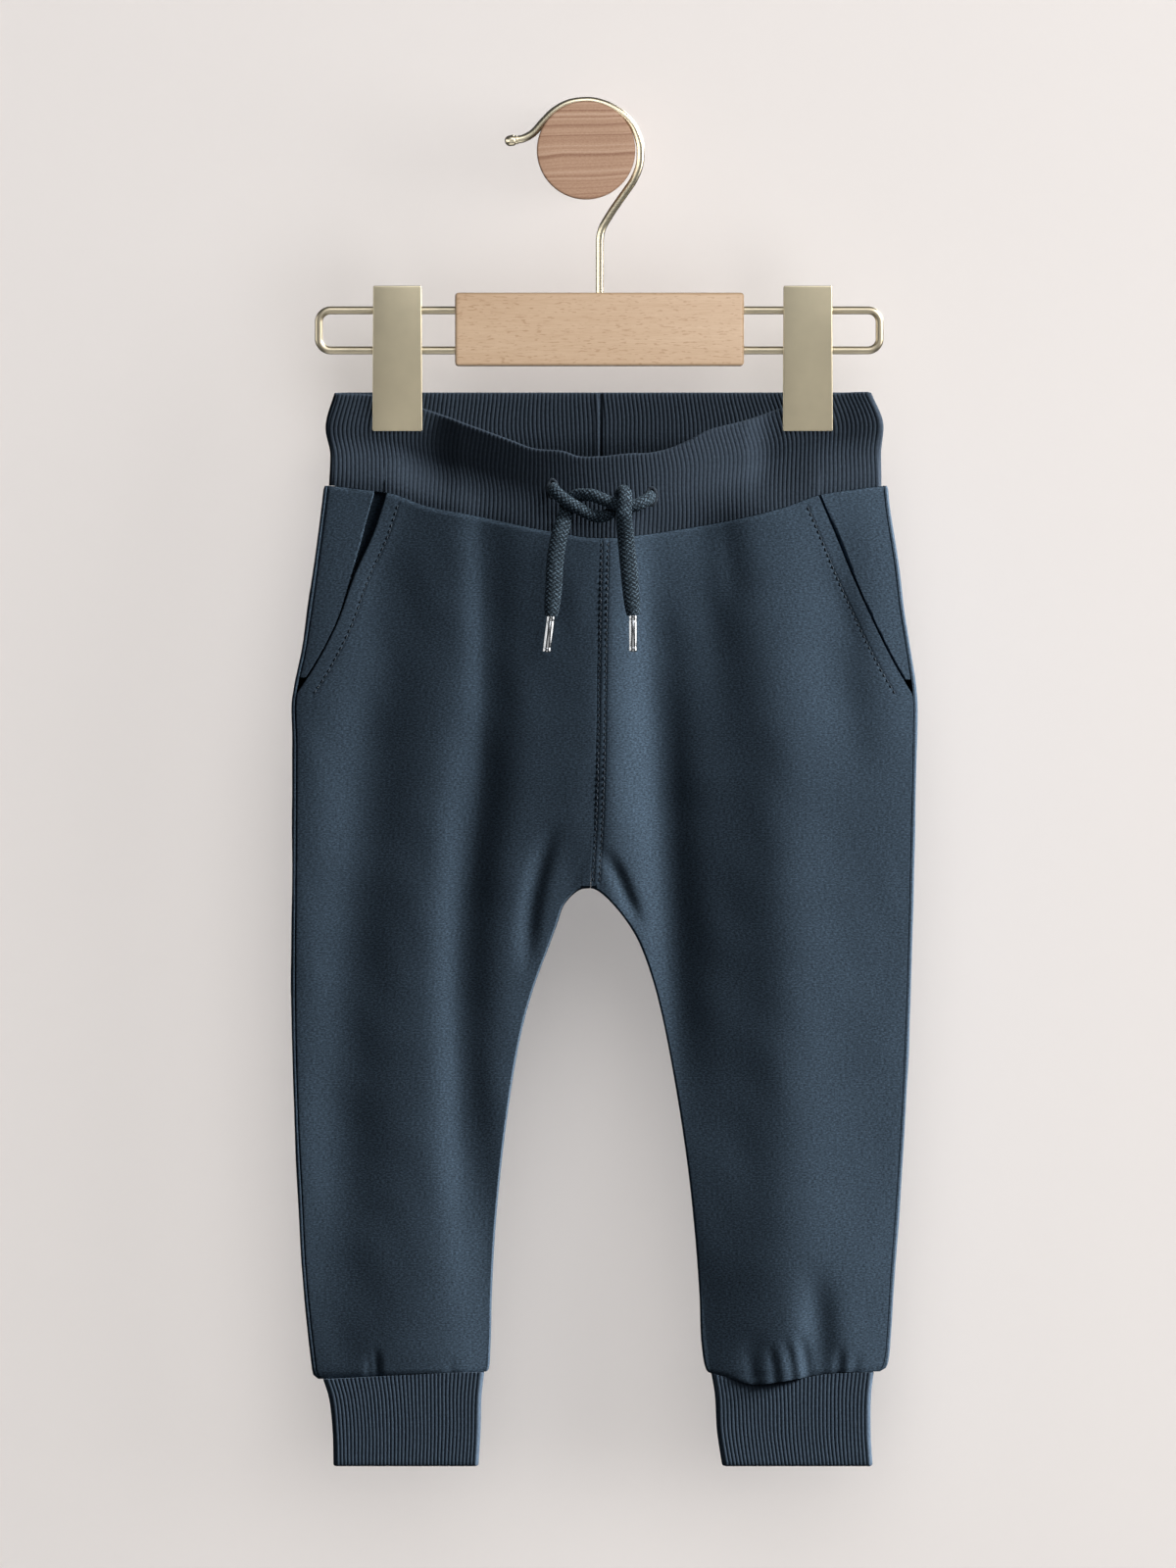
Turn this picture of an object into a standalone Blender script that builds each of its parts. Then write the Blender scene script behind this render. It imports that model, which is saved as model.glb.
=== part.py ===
"""Toddler's jogger sweatpants, held at the waistband by the two clips of a hanger on a wall peg.

Lengths below are in millimetres and become metres when a mesh is made.
+X is the wearer's left, +Y points to the wall and +Z up. The origin is the centre of the peg's
back face, on the wall. The garment hangs in the plane y = MID_Y, its front facing -Y.
Front and back of the body are a height above and below that plane: a depth times the
rounding of the nearest edge, so that the cloth turns over at the sides, legs and crotch.
"""

import math

import bmesh
import bpy
import numpy as np

MM = 0.001

# The whole
MID_Y = -45.0  # the plane of the hanger's wires and of the garment's side edges
SEAM_GAP = 0.3  # between two pieces that are sewn or rest together
CLOTH = 2.0  # brushed sweatshirt cloth with its seam allowances
RIB_CLOTH = 2.5  # doubled rib of waistband and cuffs

# Side edges of the body: height, wearer's right edge, wearer's left edge
SIDES = (
    (-154.2, -120.4, 138.6),
    (-164.0, -121.6, 139.6),
    (-190.0, -125.0, 143.6),
    (-210.0, -127.8, 146.0),
    (-230.0, -130.8, 149.2),
    (-247.0, -134.4, 151.6),
    (-256.0, -135.4, 152.2),
    (-273.0, -134.8, 152.0),
    (-318.0, -135.0, 151.0),
    (-381.0, -135.4, 149.4),
    (-444.0, -134.1, 146.7),
    (-480.0, -132.3, 144.4),
    (-516.0, -130.4, 141.8),
    (-545.0, -127.6, 140.0),
    (-556.0, -126.2, 139.0),
    (-560.0, -125.6, 138.2),
    (-562.0, -124.8, 137.0),
    (-563.0, -123.4, 135.0),
)
# Inner edges of the legs from the crotch down: height, right leg, left leg
INSEAMS = (
    (-338.8, 2.0, 2.0),
    (-339.2, -2.0, 3.8),
    (-341.4, -5.6, 7.4),
    (-346.7, -10.2, 12.8),
    (-354.0, -12.8, 18.6),
    (-362.9, -16.0, 23.9),
    (-380.9, -22.8, 30.6),
    (-398.9, -28.2, 35.2),
    (-416.9, -32.0, 38.8),
    (-443.9, -36.2, 43.4),
    (-470.9, -39.4, 47.2),
    (-497.9, -41.8, 50.0),
    (-524.9, -43.2, 52.0),
    (-550.0, -43.9, 53.2),
    (-560.0, -44.8, 55.2),
    (-563.0, -46.4, 57.2),
)
# Centre-front seam, which the centre-back seam mirrors in depth: height, place
CENTRE_SEAM = ((-150.0, 6.6), (-178.0, 6.3), (-236.0, 5.2), (-278.0, 4.6), (-310.0, 3.6), (-338.8, 2.0))
CROTCH_Z = -338.8
CROTCH_CLEAR = 0.2  # the panels' corners end this far above the crotch point
CROTCH_SIDE_Z = -331.0  # where the row through the crotch meets the side edges
HEM_Z = -563.0  # lower end of the body, where the cuffs are sewn on

# Seam between waistband and body on the front: place, height. The back's is level.
WAIST_FRONT = (
    (-121.0, -153.6),
    (-97.0, -156.6),
    (-88.0, -158.0),
    (-74.0, -163.4),
    (-53.0, -167.6),
    (-17.0, -175.0),
    (6.3, -178.2),
    (45.5, -173.8),
    (90.0, -164.4),
    (106.0, -158.8),
    (122.0, -156.0),
    (139.0, -153.8),
)
WAIST_BACK_Z = -154.0

# Rounding of the body's edges and depth of the cloth in front of and behind the mid-plane
EDGE_R = 13.0
SEAM_IN = 2.0  # the side seams lie this far in from the edge, on the front
INSEAM_GAP_SHARE = 1.44  # the surface turns faster than EDGE_R at the inner legs, so their gap takes more
# Height, depth at the edges and further depth at the middle, front then back, for the
# trunk as one form and for each leg
DEPTHS = (
    (-150.0, 8.5, 10.0, 6.0, 3.5),
    (-200.0, 9.5, 9.0, 7.0, 6.5),
    (-260.0, 10.0, 6.0, 8.0, 8.0),
    (-330.0, 9.5, 4.5, 8.5, 6.0),
    (-420.0, 8.5, 4.5, 8.0, 4.5),
    (-563.0, 8.0, 2.5, 7.5, 2.5),
)
LEGS_FROM, LEGS_TO = -235.0, -350.0  # the trunk's form turns into the legs' between these
HEM_TUCK, HEM_TUCK_HEIGHT = 0.14, 5.0  # the legs draw in by this share just above the cuffs

# Folds of the front and the back. Each is a soft trough along a line through three points:
# top, middle and bottom as (height, place), the spread on its right and on its left side as
# worn, and its depth, which fades out at both ends
FRONT_FOLDS = (
    ("right outer", (-168, -89), (-280, -97), (-500, -115), 9, 12, 2.4),
    ("right thigh", (-172, -47), (-262, -45), (-345, -54), 9, 9, 2.6),
    ("right leg", (-300, -50), (-410, -57), (-530, -55), 9, 10, 3.6),
    ("left inner", (-180, 36), (-290, 35), (-430, 52), 9, 10, 3.6),
    ("left hip", (-166, 60), (-200, 59), (-250, 62), 12, 13, 1.6),
    ("left outer", (-270, 131), (-380, 133), (-500, 130), 8, 7, 1.0),
    ("left shin", (-512, 104), (-540, 107), (-575, 110), 5, 5, 2.2),
    ("right ankle", (-532, -95), (-550, -94), (-575, -93), 4, 4, 1.2),
    ("left ankle", (-540, 78), (-552, 77), (-575, 76), 4, 4, 1.2),
)
BACK_FOLDS = (
    ("right seat", (-170, -52), (-250, -60), (-345, -40), 11, 11, 2.2),
    ("left seat", (-170, 66), (-250, 76), (-345, 56), 11, 11, 2.2),
    ("right knee", (-330, -75), (-430, -84), (-530, -84), 10, 10, 2.6),
    ("left knee", (-330, 92), (-430, 98), (-530, 96), 10, 10, 2.6),
    ("right ankle", (-532, -70), (-550, -71), (-575, -72), 4, 4, 1.2),
    ("left ankle", (-536, 88), (-552, 88), (-575, 88), 4, 4, 1.2),
)

# Slanted pocket openings, edge of the front panel: height, right pocket, left pocket
POCKETS = (
    (-156.0, -91.0, 105.4),
    (-176.0, -97.6, 114.0),
    (-195.0, -106.2, 121.8),
    (-217.0, -114.2, 131.8),
    (-236.0, -124.0, 141.4),
    (-250.0, -133.2, 149.8),
)
POCKET_LIFT = (("right", 4.0, -178.0, 20.0), ("left", 1.0, -190.0, 30.0))  # height, middle, spread
POCKET_LIFT_IN = 14.0  # the lifted edge settles over this width
POCKET_UNDER = 9.0  # the panel behind reaches this far under the front
POCKET_GAP_UNDER = 1.0
POCKET_STEP = 3.0  # it is down at its full depth this far before the front's edge
POCKET_TIP = 3.5  # the panel behind ends where the opening is this far from the seam
POCKET_ROWS = 9

# Waistband: share of its height from the bottom, right edge, left edge
BAND_EDGES = (
    (0.0, -117.8, 135.4),
    (0.33, -117.3, 135.3),
    (0.62, -119.4, 136.4),
    (1.0, -115.3, 130.6),
)
BAND_TOP_FRONT = (
    (-121.0, -111.6),
    (-98.0, -112.2),
    (-74.0, -118.6),
    (-53.0, -126.2),
    (-35.0, -132.8),
    (-17.0, -138.6),
    (-4.0, -141.0),
    (23.0, -139.2),
    (45.5, -132.9),
    (63.5, -127.0),
    (89.5, -118.2),
    (112.0, -111.8),
    (138.0, -110.6),
)
BAND_TOP_BACK_Z = -111.0
BAND_EDGE_R = 7.0
BAND_RIBS = 132  # on each of front and back
BAND_SHARES = (0.0, 0.28, 0.57, 1.0)  # heights of the outer rows
BAND_SAG_DEPTH = 15.5  # how far the front's top edge bows out between the clips
BAND_END_DEPTH = 5.0  # half depth of the band outside the clips
BAND_FREE = 0.55  # share of the height below the clips' grip
BAND_PINCHED = RIB_CLOTH + SEAM_GAP / 2
BAND_HELD, BAND_SPREAD = 12.5, 11.0  # half width that a clip holds flat, and how soon it opens beside it
BAND_BACK_BOW = 1.2  # how far the back's top edge bows out between the clips
BAND_TUCK = 0.8  # the band's lower edge lies this far inside the body's surface
RIB_HEIGHT = 0.45
RIBS_PER_INNER = 3  # one facet of the plain inside to this many ribs

# Cuffs: height, right cuff's outer and inner edge, left cuff's inner and outer edge
CUFF_EDGES = (
    (-563.3, -120.6, -46.9, 57.7, 131.9),
    (-572.0, -118.0, -48.1, 59.3, 130.7),
    (-588.0, -116.2, -48.6, 60.3, 130.5),
    (-604.4, -115.8, -49.6, 62.8, 131.4),
)
CUFF_EDGE_R = 9.0
CUFF_DEPTHS = ((-563.3, 8.8, 8.4), (-604.4, 8.0, 8.0))  # height, front, back
CUFF_RIBS = 41
CUFF_SHARES = (0.0, 0.72, 1.0)

# Drawstring: place, depth, height and thickness of each point of the two visible ends, from
# its buttonhole over the knot to its metal tip. Right as worn first.
CORD_RIGHT = (
    (-15.4, -62.7, -155.4, 4.4),
    (-15.3, -65.4, -155.6, 4.4),
    (-14.6, -68.2, -156.4, 4.4),
    (-12.6, -70.4, -158.4, 4.4),
    (-9.6, -71.0, -160.8, 4.4),
    (-4.8, -70.4, -163.8, 4.4),
    (1.2, -68.2, -167.0, 4.4),
    (6.6, -66.8, -168.4, 4.4),
    (11.2, -66.2, -166.6, 4.4),
    (14.4, -66.0, -163.0, 4.4),
    (15.8, -66.6, -158.6, 4.4),
    (17.0, -70.2, -156.0, 4.4),
    (18.0, -74.4, -158.0, 4.6),
    (17.8, -76.2, -162.4, 5.0),
    (17.4, -76.2, -166.4, 5.4),
    (17.6, -74.2, -171.8, 5.8),
    (18.2, -71.4, -178.0, 6.2),
    (19.2, -69.2, -187.6, 6.4),
    (20.4, -67.8, -200.6, 6.2),
    (21.2, -67.0, -209.2, 5.4),
    (21.6, -66.6, -213.4, 4.4),
)
CORD_LEFT = (
    (29.8, -62.9, -159.2, 4.4),
    (29.7, -65.6, -159.4, 4.4),
    (28.2, -68.6, -160.4, 4.4),
    (25.2, -70.4, -162.2, 4.4),
    (21.2, -70.9, -163.6, 4.4),
    (16.4, -70.9, -163.6, 4.4),
    (11.4, -71.2, -162.0, 4.4),
    (6.4, -71.2, -160.0, 4.4),
    (1.4, -70.0, -158.4, 4.4),
    (-3.2, -67.0, -158.4, 4.4),
    (-6.8, -65.5, -160.4, 4.4),
    (-8.6, -65.8, -164.0, 4.8),
    (-9.6, -66.8, -168.2, 5.4),
    (-11.2, -67.6, -173.4, 6.0),
    (-12.8, -68.0, -179.6, 6.4),
    (-14.2, -67.6, -188.6, 6.4),
    (-14.8, -67.2, -200.0, 6.2),
    (-15.6, -66.8, -209.6, 5.4),
    (-16.0, -66.6, -213.8, 4.4),
)
CORD_STEP = 5.6  # spacing of the tube's points
TIP_R, TIP_LENGTH = 1.9, 16.4
TIP_LEAN = {"right": 0.0, "left": -2.0}  # sideways run of each metal tip

# Hanger: round wires through a wooden block
WIRE_R = 1.8
SOCKET_R = 2.1
WIRE_TOP_Z, WIRE_BOTTOM_Z = -73.4, -91.8
WIRE_ENDS_X = (-122.7, 134.8)  # centreline of each end loop
WIRE_CORNER_R = 5.4
SOCKET_DEPTH = 14.0
CUT_OVER = 5.0  # cutters run this far past the wood
BLOCK_X = (-60.1, 72.5)
BLOCK_Z = (-99.0, -65.4)
BLOCK_THICK = 15.0
BLOCK_ROUND = 2.2
HOOK_X = 6.3
# Centreline of the hook from the block to its free end: place, height
HOOK_LINE = (
    (6.3, -78.0),
    (6.3, -52.0),
    (6.3, -42.0),
    (7.2, -36.4),
    (11.0, -29.4),
    (16.9, -20.8),
    (22.0, -13.2),
    (24.7, -6.0),
    (25.0, 0.4),
    (23.5, 7.2),
    (20.6, 12.7),
    (15.6, 17.4),
    (8.4, 21.3),
    (0.9, 22.8),
    (-7.8, 21.7),
    (-14.6, 18.1),
    (-19.8, 13.0),
    (-24.4, 8.0),
    (-28.8, 5.5),
    (-32.8, 4.8),
)
HOOK_STEP = 3.4  # spacing of its points
HOOK_BALL_R = 2.5
PEG_R, PEG_LENGTH, PEG_BEVEL = 22.6, 51.0, 0.8
PEG_NECK_R, PEG_NECK = 20.6, 47.3  # the hook lies on the thinner neck, behind the peg's head

# Clips: two plates that meet at the jaws, round a spring on the lower wire
CLIPS = {"right": -86.6, "left": 101.8}
CLIP_WIDTH, CLIP_THICK, CLIP_BEVEL = 23.0, 1.6, 0.45
CLIP_TOP_Z, CLIP_JAW_Z = -62.3, -128.9
CLIP_JAW_Y = BAND_PINCHED + RIB_HEIGHT + SEAM_GAP  # inner face from the mid-plane, at the jaw
CLIP_TOP_Y = 9.0  # and at the top
SPRING_LENGTH = 18.0

# Steps over which slopes are read
SLOPE_STEP = 0.05
SHARE_STEP = 1e-4

# How finely the cloth is divided
PANEL_SHARES = (0, 0.035, 0.09, 0.17, 0.27, 0.38, 0.5, 0.62, 0.73, 0.83, 0.91, 0.965, 1)
TRUNK_ROWS = (0, 0.06, 0.16, 0.28, 0.39, 0.47, 0.54, 0.7, 0.85, 0.96, 1)
LEG_ROWS = (0.014, 0.04, 0.085, 0.16, 0.26, 0.38, 0.52, 0.66, 0.79, 0.88, 0.94, 0.985, 1)

COLOURS = {
    "cloth": ((0.035, 0.055, 0.085, 1), 0.85, 0.0),
    "rib": ((0.032, 0.05, 0.078, 1), 0.85, 0.0),
    "pocket cloth": ((0.03, 0.047, 0.073, 1), 0.9, 0.0),
    "cord": ((0.04, 0.062, 0.09, 1), 0.9, 0.0),
    "tip metal": ((0.62, 0.64, 0.66, 1), 0.3, 1.0),
    "champagne metal": ((0.62, 0.56, 0.42, 1), 0.35, 1.0),
    "beech": ((0.66, 0.46, 0.28, 1), 0.55, 0.0),
    "peg wood": ((0.5, 0.3, 0.19, 1), 0.6, 0.0),
}


# Curves through short tables


def through(knots, values, at):
    """A smooth curve through values at rising knots, read at any places."""
    k, v, t = (np.asarray(a, float) for a in (knots, values, at))
    secant = np.diff(v) / np.diff(k)
    slope = np.concatenate([secant[:1], (secant[:-1] + secant[1:]) / 2, secant[-1:]])
    # A turning point of the table stays one of the curve, so the curve doesn't overshoot.
    turns = np.concatenate([[False], secant[:-1] * secant[1:] <= 0, [False]])
    slope = np.where(turns, 0, slope)
    t = np.clip(t, k[0], k[-1])
    i = np.clip(np.searchsorted(k, t, side="right") - 1, 0, len(k) - 2)
    h = k[i + 1] - k[i]
    u = (t - k[i]) / h
    return (
        v[i] * (1 + 2 * u) * (1 - u) ** 2
        + v[i + 1] * u * u * (3 - 2 * u)
        + h * slope[i] * u * (1 - u) ** 2
        + h * slope[i + 1] * u * u * (u - 1)
    )


def column(table, at, key, value):
    """Reads one column of a table by another, whichever way the key column runs."""
    rows = sorted(table, key=lambda row: row[key])
    return through([row[key] for row in rows], [row[value] for row in rows], at)


def ease(u):
    u = np.clip(u, 0, 1)
    return u * u * (3 - 2 * u)


def smooth_line(points, step):
    """A line through hand-set points, smooth by chord length, with points about step apart."""
    p = np.asarray(points, float)
    chord = np.concatenate([[0], np.cumsum(np.linalg.norm(np.diff(p[:, :3], axis=0), axis=1))])
    count = max(2, round(chord[-1] / step)) + 1
    at = np.linspace(0, chord[-1], count)
    return np.stack([through(chord, p[:, k], at) for k in range(p.shape[1])], axis=1)


# The body's surface


def side_x(z, side):
    return column(SIDES, z, 0, 1 if side == "right" else 2)


def centre_x(z):
    return column(CENTRE_SEAM, z, 0, 1)


def inseam_line(side, at):
    """Place and height at shares of the length of a leg's inner edge, from the crotch down."""
    p = np.array([(row[1 if side == "right" else 2], row[0]) for row in INSEAMS])
    length = np.concatenate([[0], np.cumsum(np.linalg.norm(np.diff(p, axis=0), axis=1))])
    at = np.asarray(at, float) * length[-1]
    return through(length, p[:, 0], at), through(length, p[:, 1], at)


ARCH = {side: np.stack(inseam_line(side, np.linspace(0, 1, 120)), axis=1) for side in ("right", "left")}


def arch_distance(x, z):
    """Distance to the arch between the legs, negative inside it."""
    best = np.full(np.shape(x), 1e9)
    for line in ARCH.values():
        for a, b in zip(line[:-1], line[1:]):
            d = b - a
            t = np.clip(((x - a[0]) * d[0] + (z - a[1]) * d[1]) / (d @ d), 0, 1)
            best = np.minimum(best, np.hypot(x - a[0] - t * d[0], z - a[1] - t * d[1]))
    right = np.interp(-z, -ARCH["right"][:, 1], ARCH["right"][:, 0])
    left = np.interp(-z, -ARCH["left"][:, 1], ARCH["left"][:, 0])
    inside = (z < CROTCH_Z) & (x > right) & (x < left)
    return np.where(inside, -best, best)


def rounding(distance, radius):
    """Square of a quarter circle's height at a distance in from its edge."""
    return 1 - (1 - np.minimum(distance / radius, 1)) ** 2


def turnover(x, z):
    return (
        rounding(x - side_x(z, "right"), EDGE_R)
        * rounding(side_x(z, "left") - x, EDGE_R)
        * rounding(arch_distance(x, z), EDGE_R)
    )


def folds(table, x, z):
    total = np.zeros(np.shape(x))
    for _, top, middle, bottom, spread_right, spread_left, depth in table:
        knots = (bottom[0], middle[0], top[0])
        line = through(knots, (bottom[1], middle[1], top[1]), z)
        along = np.clip((z - bottom[0]) / (top[0] - bottom[0]), 0, 1)
        off = x - line
        spread = np.where(off < 0, spread_right, spread_left)
        total -= depth * np.sin(math.pi * along) ** 0.7 * np.exp(-((off / spread) ** 2) / 2)
    return total


def depth(x, z, front):
    """Depth of the body's outer surface from the mid-plane, before its edges turn over."""
    right, left = side_x(z, "right"), side_x(z, "left")
    middle = centre_x(z)
    on_right = x < middle
    inner_right = np.interp(-z, -ARCH["right"][:, 1], ARCH["right"][:, 0])
    inner_left = np.interp(-z, -ARCH["left"][:, 1], ARCH["left"][:, 0])
    inner = np.where(z > CROTCH_Z, middle, np.where(on_right, inner_right, inner_left))
    outer = np.where(on_right, right, left)
    across_leg = 1 - np.clip((x - (outer + inner) / 2) / (np.abs(outer - inner) / 2), -1, 1) ** 2
    across_trunk = 1 - np.clip((x - (left + right) / 2) / ((left - right) / 2), -1, 1) ** 2
    leg = ease((LEGS_FROM - z) / (LEGS_FROM - LEGS_TO))
    first = 1 if front else 3
    edge, crown = column(DEPTHS, z, 0, first), column(DEPTHS, z, 0, first + 1)
    form = edge + crown * ((1 - leg) * across_trunk + leg * across_leg)
    form = form + folds(FRONT_FOLDS if front else BACK_FOLDS, x, z)
    form = form * (1 - HEM_TUCK * ease((HEM_Z + HEM_TUCK_HEIGHT - z) / HEM_TUCK_HEIGHT))
    return form + pocket_lift(x, z) if front else form


def pocket_x(z, side):
    return column(POCKETS, z, 0, 1 if side == "right" else 2)


def pocket_lift(x, z):
    """How far the front panel's edge stands off at each pocket opening."""
    total = np.zeros(np.shape(x))
    for side, height, middle, spread in POCKET_LIFT:
        inward = (x - pocket_x(z, side)) * (1 if side == "right" else -1)
        near = np.exp(-(((z - middle) / spread) ** 2) / 2) * (z > POCKETS[-1][0])
        total = total + height * near * (1 - ease(inward / POCKET_LIFT_IN)) * (inward > -1.0)
    return total


def body_points(x, z, front, lift=True):
    """Outer points of the body, and the direction out of the cloth there."""

    def squared(x_at, z_at):
        deep = depth(x_at, z_at, front)
        if front and not lift:
            deep = deep - pocket_lift(x_at, z_at)
        return deep**2 * turnover(x_at, z_at)

    step = SLOPE_STEP
    height = np.sqrt(np.maximum(squared(x, z), 0))
    y = -height if front else height
    slope_x = (squared(x + step, z) - squared(x - step, z)) / (2 * step)
    slope_z = (squared(x, z + step) - squared(x, z - step)) / (2 * step)
    out = np.stack([-slope_x, 2 * y, -slope_z], axis=-1)
    out /= np.linalg.norm(out, axis=-1, keepdims=True)
    return np.stack([x, MID_Y + y, z], axis=-1), out


# Rows and columns of a panel


def edge_place(arc, width):
    """How far in from the outer edge a point is, at an arc length round the edge from it."""
    quarter = math.pi * EDGE_R / 2
    total = 2 * quarter + width - 2 * EDGE_R
    back = total - arc
    return np.where(
        arc < quarter,
        EDGE_R * (1 - np.cos(arc / EDGE_R)),
        np.where(
            back < quarter,
            width - EDGE_R * (1 - np.cos(back / EDGE_R)),
            EDGE_R + arc - quarter,
        ),
    )


def edge_arc(place):
    """The arc length at which edge_place reaches a place near the outer edge."""
    return np.where(
        place < EDGE_R,
        EDGE_R * np.arccos(np.clip(1 - place / EDGE_R, -1, 1)),
        math.pi * EDGE_R / 2 + place - EDGE_R,
    )


def waist_z(x, front):
    return through(*zip(*WAIST_FRONT), x) if front else np.full(np.shape(x), WAIST_BACK_Z)


def panel(side, front):
    """Outer points and directions of one of the body's four panels, row by row from the waist."""
    sign = 1 if side == "right" else -1
    shares = np.array(PANEL_SHARES, float)
    blend = ease(shares)
    seam_arc = edge_arc(SEAM_IN)
    half = SEAM_GAP / 2
    rows = []
    top_in = waist_z(centre_x(POCKETS[1][0]), front) - half
    top_out = waist_z(pocket_x(POCKETS[0][0], side) if front else side_x(SIDES[0][0], side), front) - half
    for v in TRUNK_ROWS:
        z_in = top_in + (CROTCH_Z + CROTCH_CLEAR - top_in) * v
        rows.append((top_out + (CROTCH_SIDE_Z - top_out) * v, z_in, None, v))
    for r in LEG_ROWS:
        x_in, z_in = inseam_line(side, r)
        rows.append((CROTCH_SIDE_Z + (HEM_Z - CROTCH_SIDE_Z) * r, z_in, x_in, 1))
    points, outs, dip = [], [], None
    for z_out, z_in, x_in, v in rows:
        x_out = side_x(z_out, side)
        inner = centre_x(z_in) if x_in is None else x_in
        width = abs(inner - x_out)
        full = math.pi * EDGE_R + width - 2 * EDGE_R
        if front:
            opening = (pocket_x(z_out, side) - x_out) * sign if z_out > POCKETS[-1][0] else 0
            start = max(edge_arc(opening) if opening > 0 else 0, seam_arc + half)
        else:
            start = -(seam_arc - half)
        gap = edge_arc(half) if x_in is None else half * INSEAM_GAP_SHARE
        arc = start + (full - gap - start) * shares
        x = x_out + sign * edge_place(arc, width)
        z = z_out + (z_in - z_out) * blend
        if dip is None:
            dip = waist_z(x, front) - half - z
        z = z + (1 - v) ** 2 * dip
        p, n = body_points(x, z, front)
        if not front:
            over = arc < 0
            p_front, n_front = body_points(x, z, True, lift=False)
            p, n = np.where(over[:, None], p_front, p), np.where(over[:, None], n_front, n)
        points.append(p)
        outs.append(n)
    return np.array(points), np.array(outs)


def pocket_back(side):
    """Outer points of the panel that shows behind a pocket opening: the side of the hip."""
    sign = 1 if side == "right" else -1
    seam_arc, half = edge_arc(SEAM_IN), SEAM_GAP / 2
    under = CLOTH + POCKET_GAP_UNDER
    heights = np.linspace(POCKETS[0][0], POCKETS[-1][0], 200)
    opening = (pocket_x(heights, side) - side_x(heights, side)) * sign
    end = heights[opening > SEAM_IN + POCKET_TIP][-1]
    points, outs = [], []
    top = waist_z(side_x(SIDES[0][0], side), True) - half
    for v in np.linspace(0, 1, POCKET_ROWS):
        z_row = top + (end - top) * v
        edge = side_x(z_row, side)
        opening = float(edge_arc((pocket_x(z_row, side) - edge) * sign))
        first = float(seam_arc) + half
        shown = np.array([0, 0.25, 0.5, 0.75, 1.0])
        arc = np.concatenate([first + (opening - first) * shown, opening + POCKET_UNDER * np.array([0.5, 1.0])])
        width = float(side_x(z_row, "left") - side_x(z_row, "right"))
        x = edge + sign * edge_place(arc, width)
        z = z_row + (1 - v) * (np.minimum(waist_z(x, True) - half, z_row) - z_row)
        p, n = body_points(x, z, True, lift=False)
        sunk = under * np.clip((arc - first) / (opening - POCKET_STEP - first), 0, 1)
        points.append(p - n * sunk[:, None])
        outs.append(n)
    return np.array(points), np.array(outs)


# Rings: the waistband and the cuffs


def ring(arc_share, width_right, width_left, radius):
    """Place, side and rounding round a flat ring: share 0 to 0.5 is its front, right to left."""
    width = width_left - width_right
    quarter = math.pi * radius / 2
    full = 2 * quarter + width - 2 * radius
    share = np.mod(arc_share, 1)
    front = share < 0.5
    arc = np.where(front, share * 2, (1 - share) * 2) * full
    place = np.where(
        arc < quarter,
        radius * (1 - np.cos(arc / radius)),
        np.where(
            full - arc < quarter,
            width - radius * (1 - np.cos((full - arc) / radius)),
            radius + arc - quarter,
        ),
    )
    height = np.sqrt(np.maximum(rounding(place, radius) * rounding(width - place, radius), 0))
    return width_right + place, front, height


def band_depth(x, share, front):
    """Depth of the waistband: pinched flat at the clips, bowed out between them on the front."""
    pinch = np.zeros(np.shape(x))
    for centre in CLIPS.values():
        pinch = np.maximum(pinch, 1 - ease((np.abs(x - centre) - BAND_HELD) / BAND_SPREAD))
    first, last = CLIPS["right"] + BAND_HELD, CLIPS["left"] - BAND_HELD
    between = np.clip((x - first) / (last - first), 0, 1)
    inside = (x > first) & (x < last)
    if front:
        open_top = np.where(inside, BAND_SAG_DEPTH * np.sin(math.pi * between) ** 1.2, 0)
        open_top = BAND_PINCHED + np.where(inside, open_top, BAND_END_DEPTH - BAND_PINCHED)
    else:
        bow = BAND_PINCHED + BAND_BACK_BOW * np.sin(math.pi * between)
        open_top = np.where(inside, bow, BAND_END_DEPTH)
    top = BAND_PINCHED + (open_top - BAND_PINCHED) * (1 - pinch)
    bottom = depth(x, waist_z(x, front), front) - BAND_TUCK
    return bottom + (top - bottom) * ease(share / BAND_FREE)


def band_surface(arc_share, share):
    right, left = column(BAND_EDGES, share, 0, 1), column(BAND_EDGES, share, 0, 2)
    x, front, height = ring(arc_share, right, left, BAND_EDGE_R)
    deep = np.where(front, band_depth(x, share, True), band_depth(x, share, False))
    low = np.where(front, waist_z(x, True), WAIST_BACK_Z) + SEAM_GAP / 2
    high = np.where(front, through(*zip(*BAND_TOP_FRONT), x), BAND_TOP_BACK_Z)
    y = MID_Y + np.where(front, -1, 1) * deep * height
    return np.stack([x, y, low + (high - low) * share], axis=-1)


def cuff_surface(side):
    first = 1 if side == "right" else 3

    def surface(arc_share, share):
        z = CUFF_EDGES[-1][0] + (CUFF_EDGES[0][0] - CUFF_EDGES[-1][0]) * share
        x, front, height = ring(arc_share, column(CUFF_EDGES, z, 0, first),
                                column(CUFF_EDGES, z, 0, first + 1), CUFF_EDGE_R)
        deep = np.where(front, column(CUFF_DEPTHS, z, 0, 1), column(CUFF_DEPTHS, z, 0, 2))
        return np.stack([x, MID_Y + np.where(front, -1, 1) * deep * height, z + 0 * x], axis=-1)

    return surface


def directions(surface, arc_share, share):
    """The direction out of a ring's wall, by small steps along and up it."""
    step = SHARE_STEP
    along = surface(arc_share + step, share) - surface(arc_share - step, share)
    up = surface(arc_share, np.minimum(share + step, 1)) - surface(arc_share, np.maximum(share - step, 0))
    out = np.cross(along, up)
    return out / np.linalg.norm(out, axis=-1, keepdims=True)


# Meshes


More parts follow.
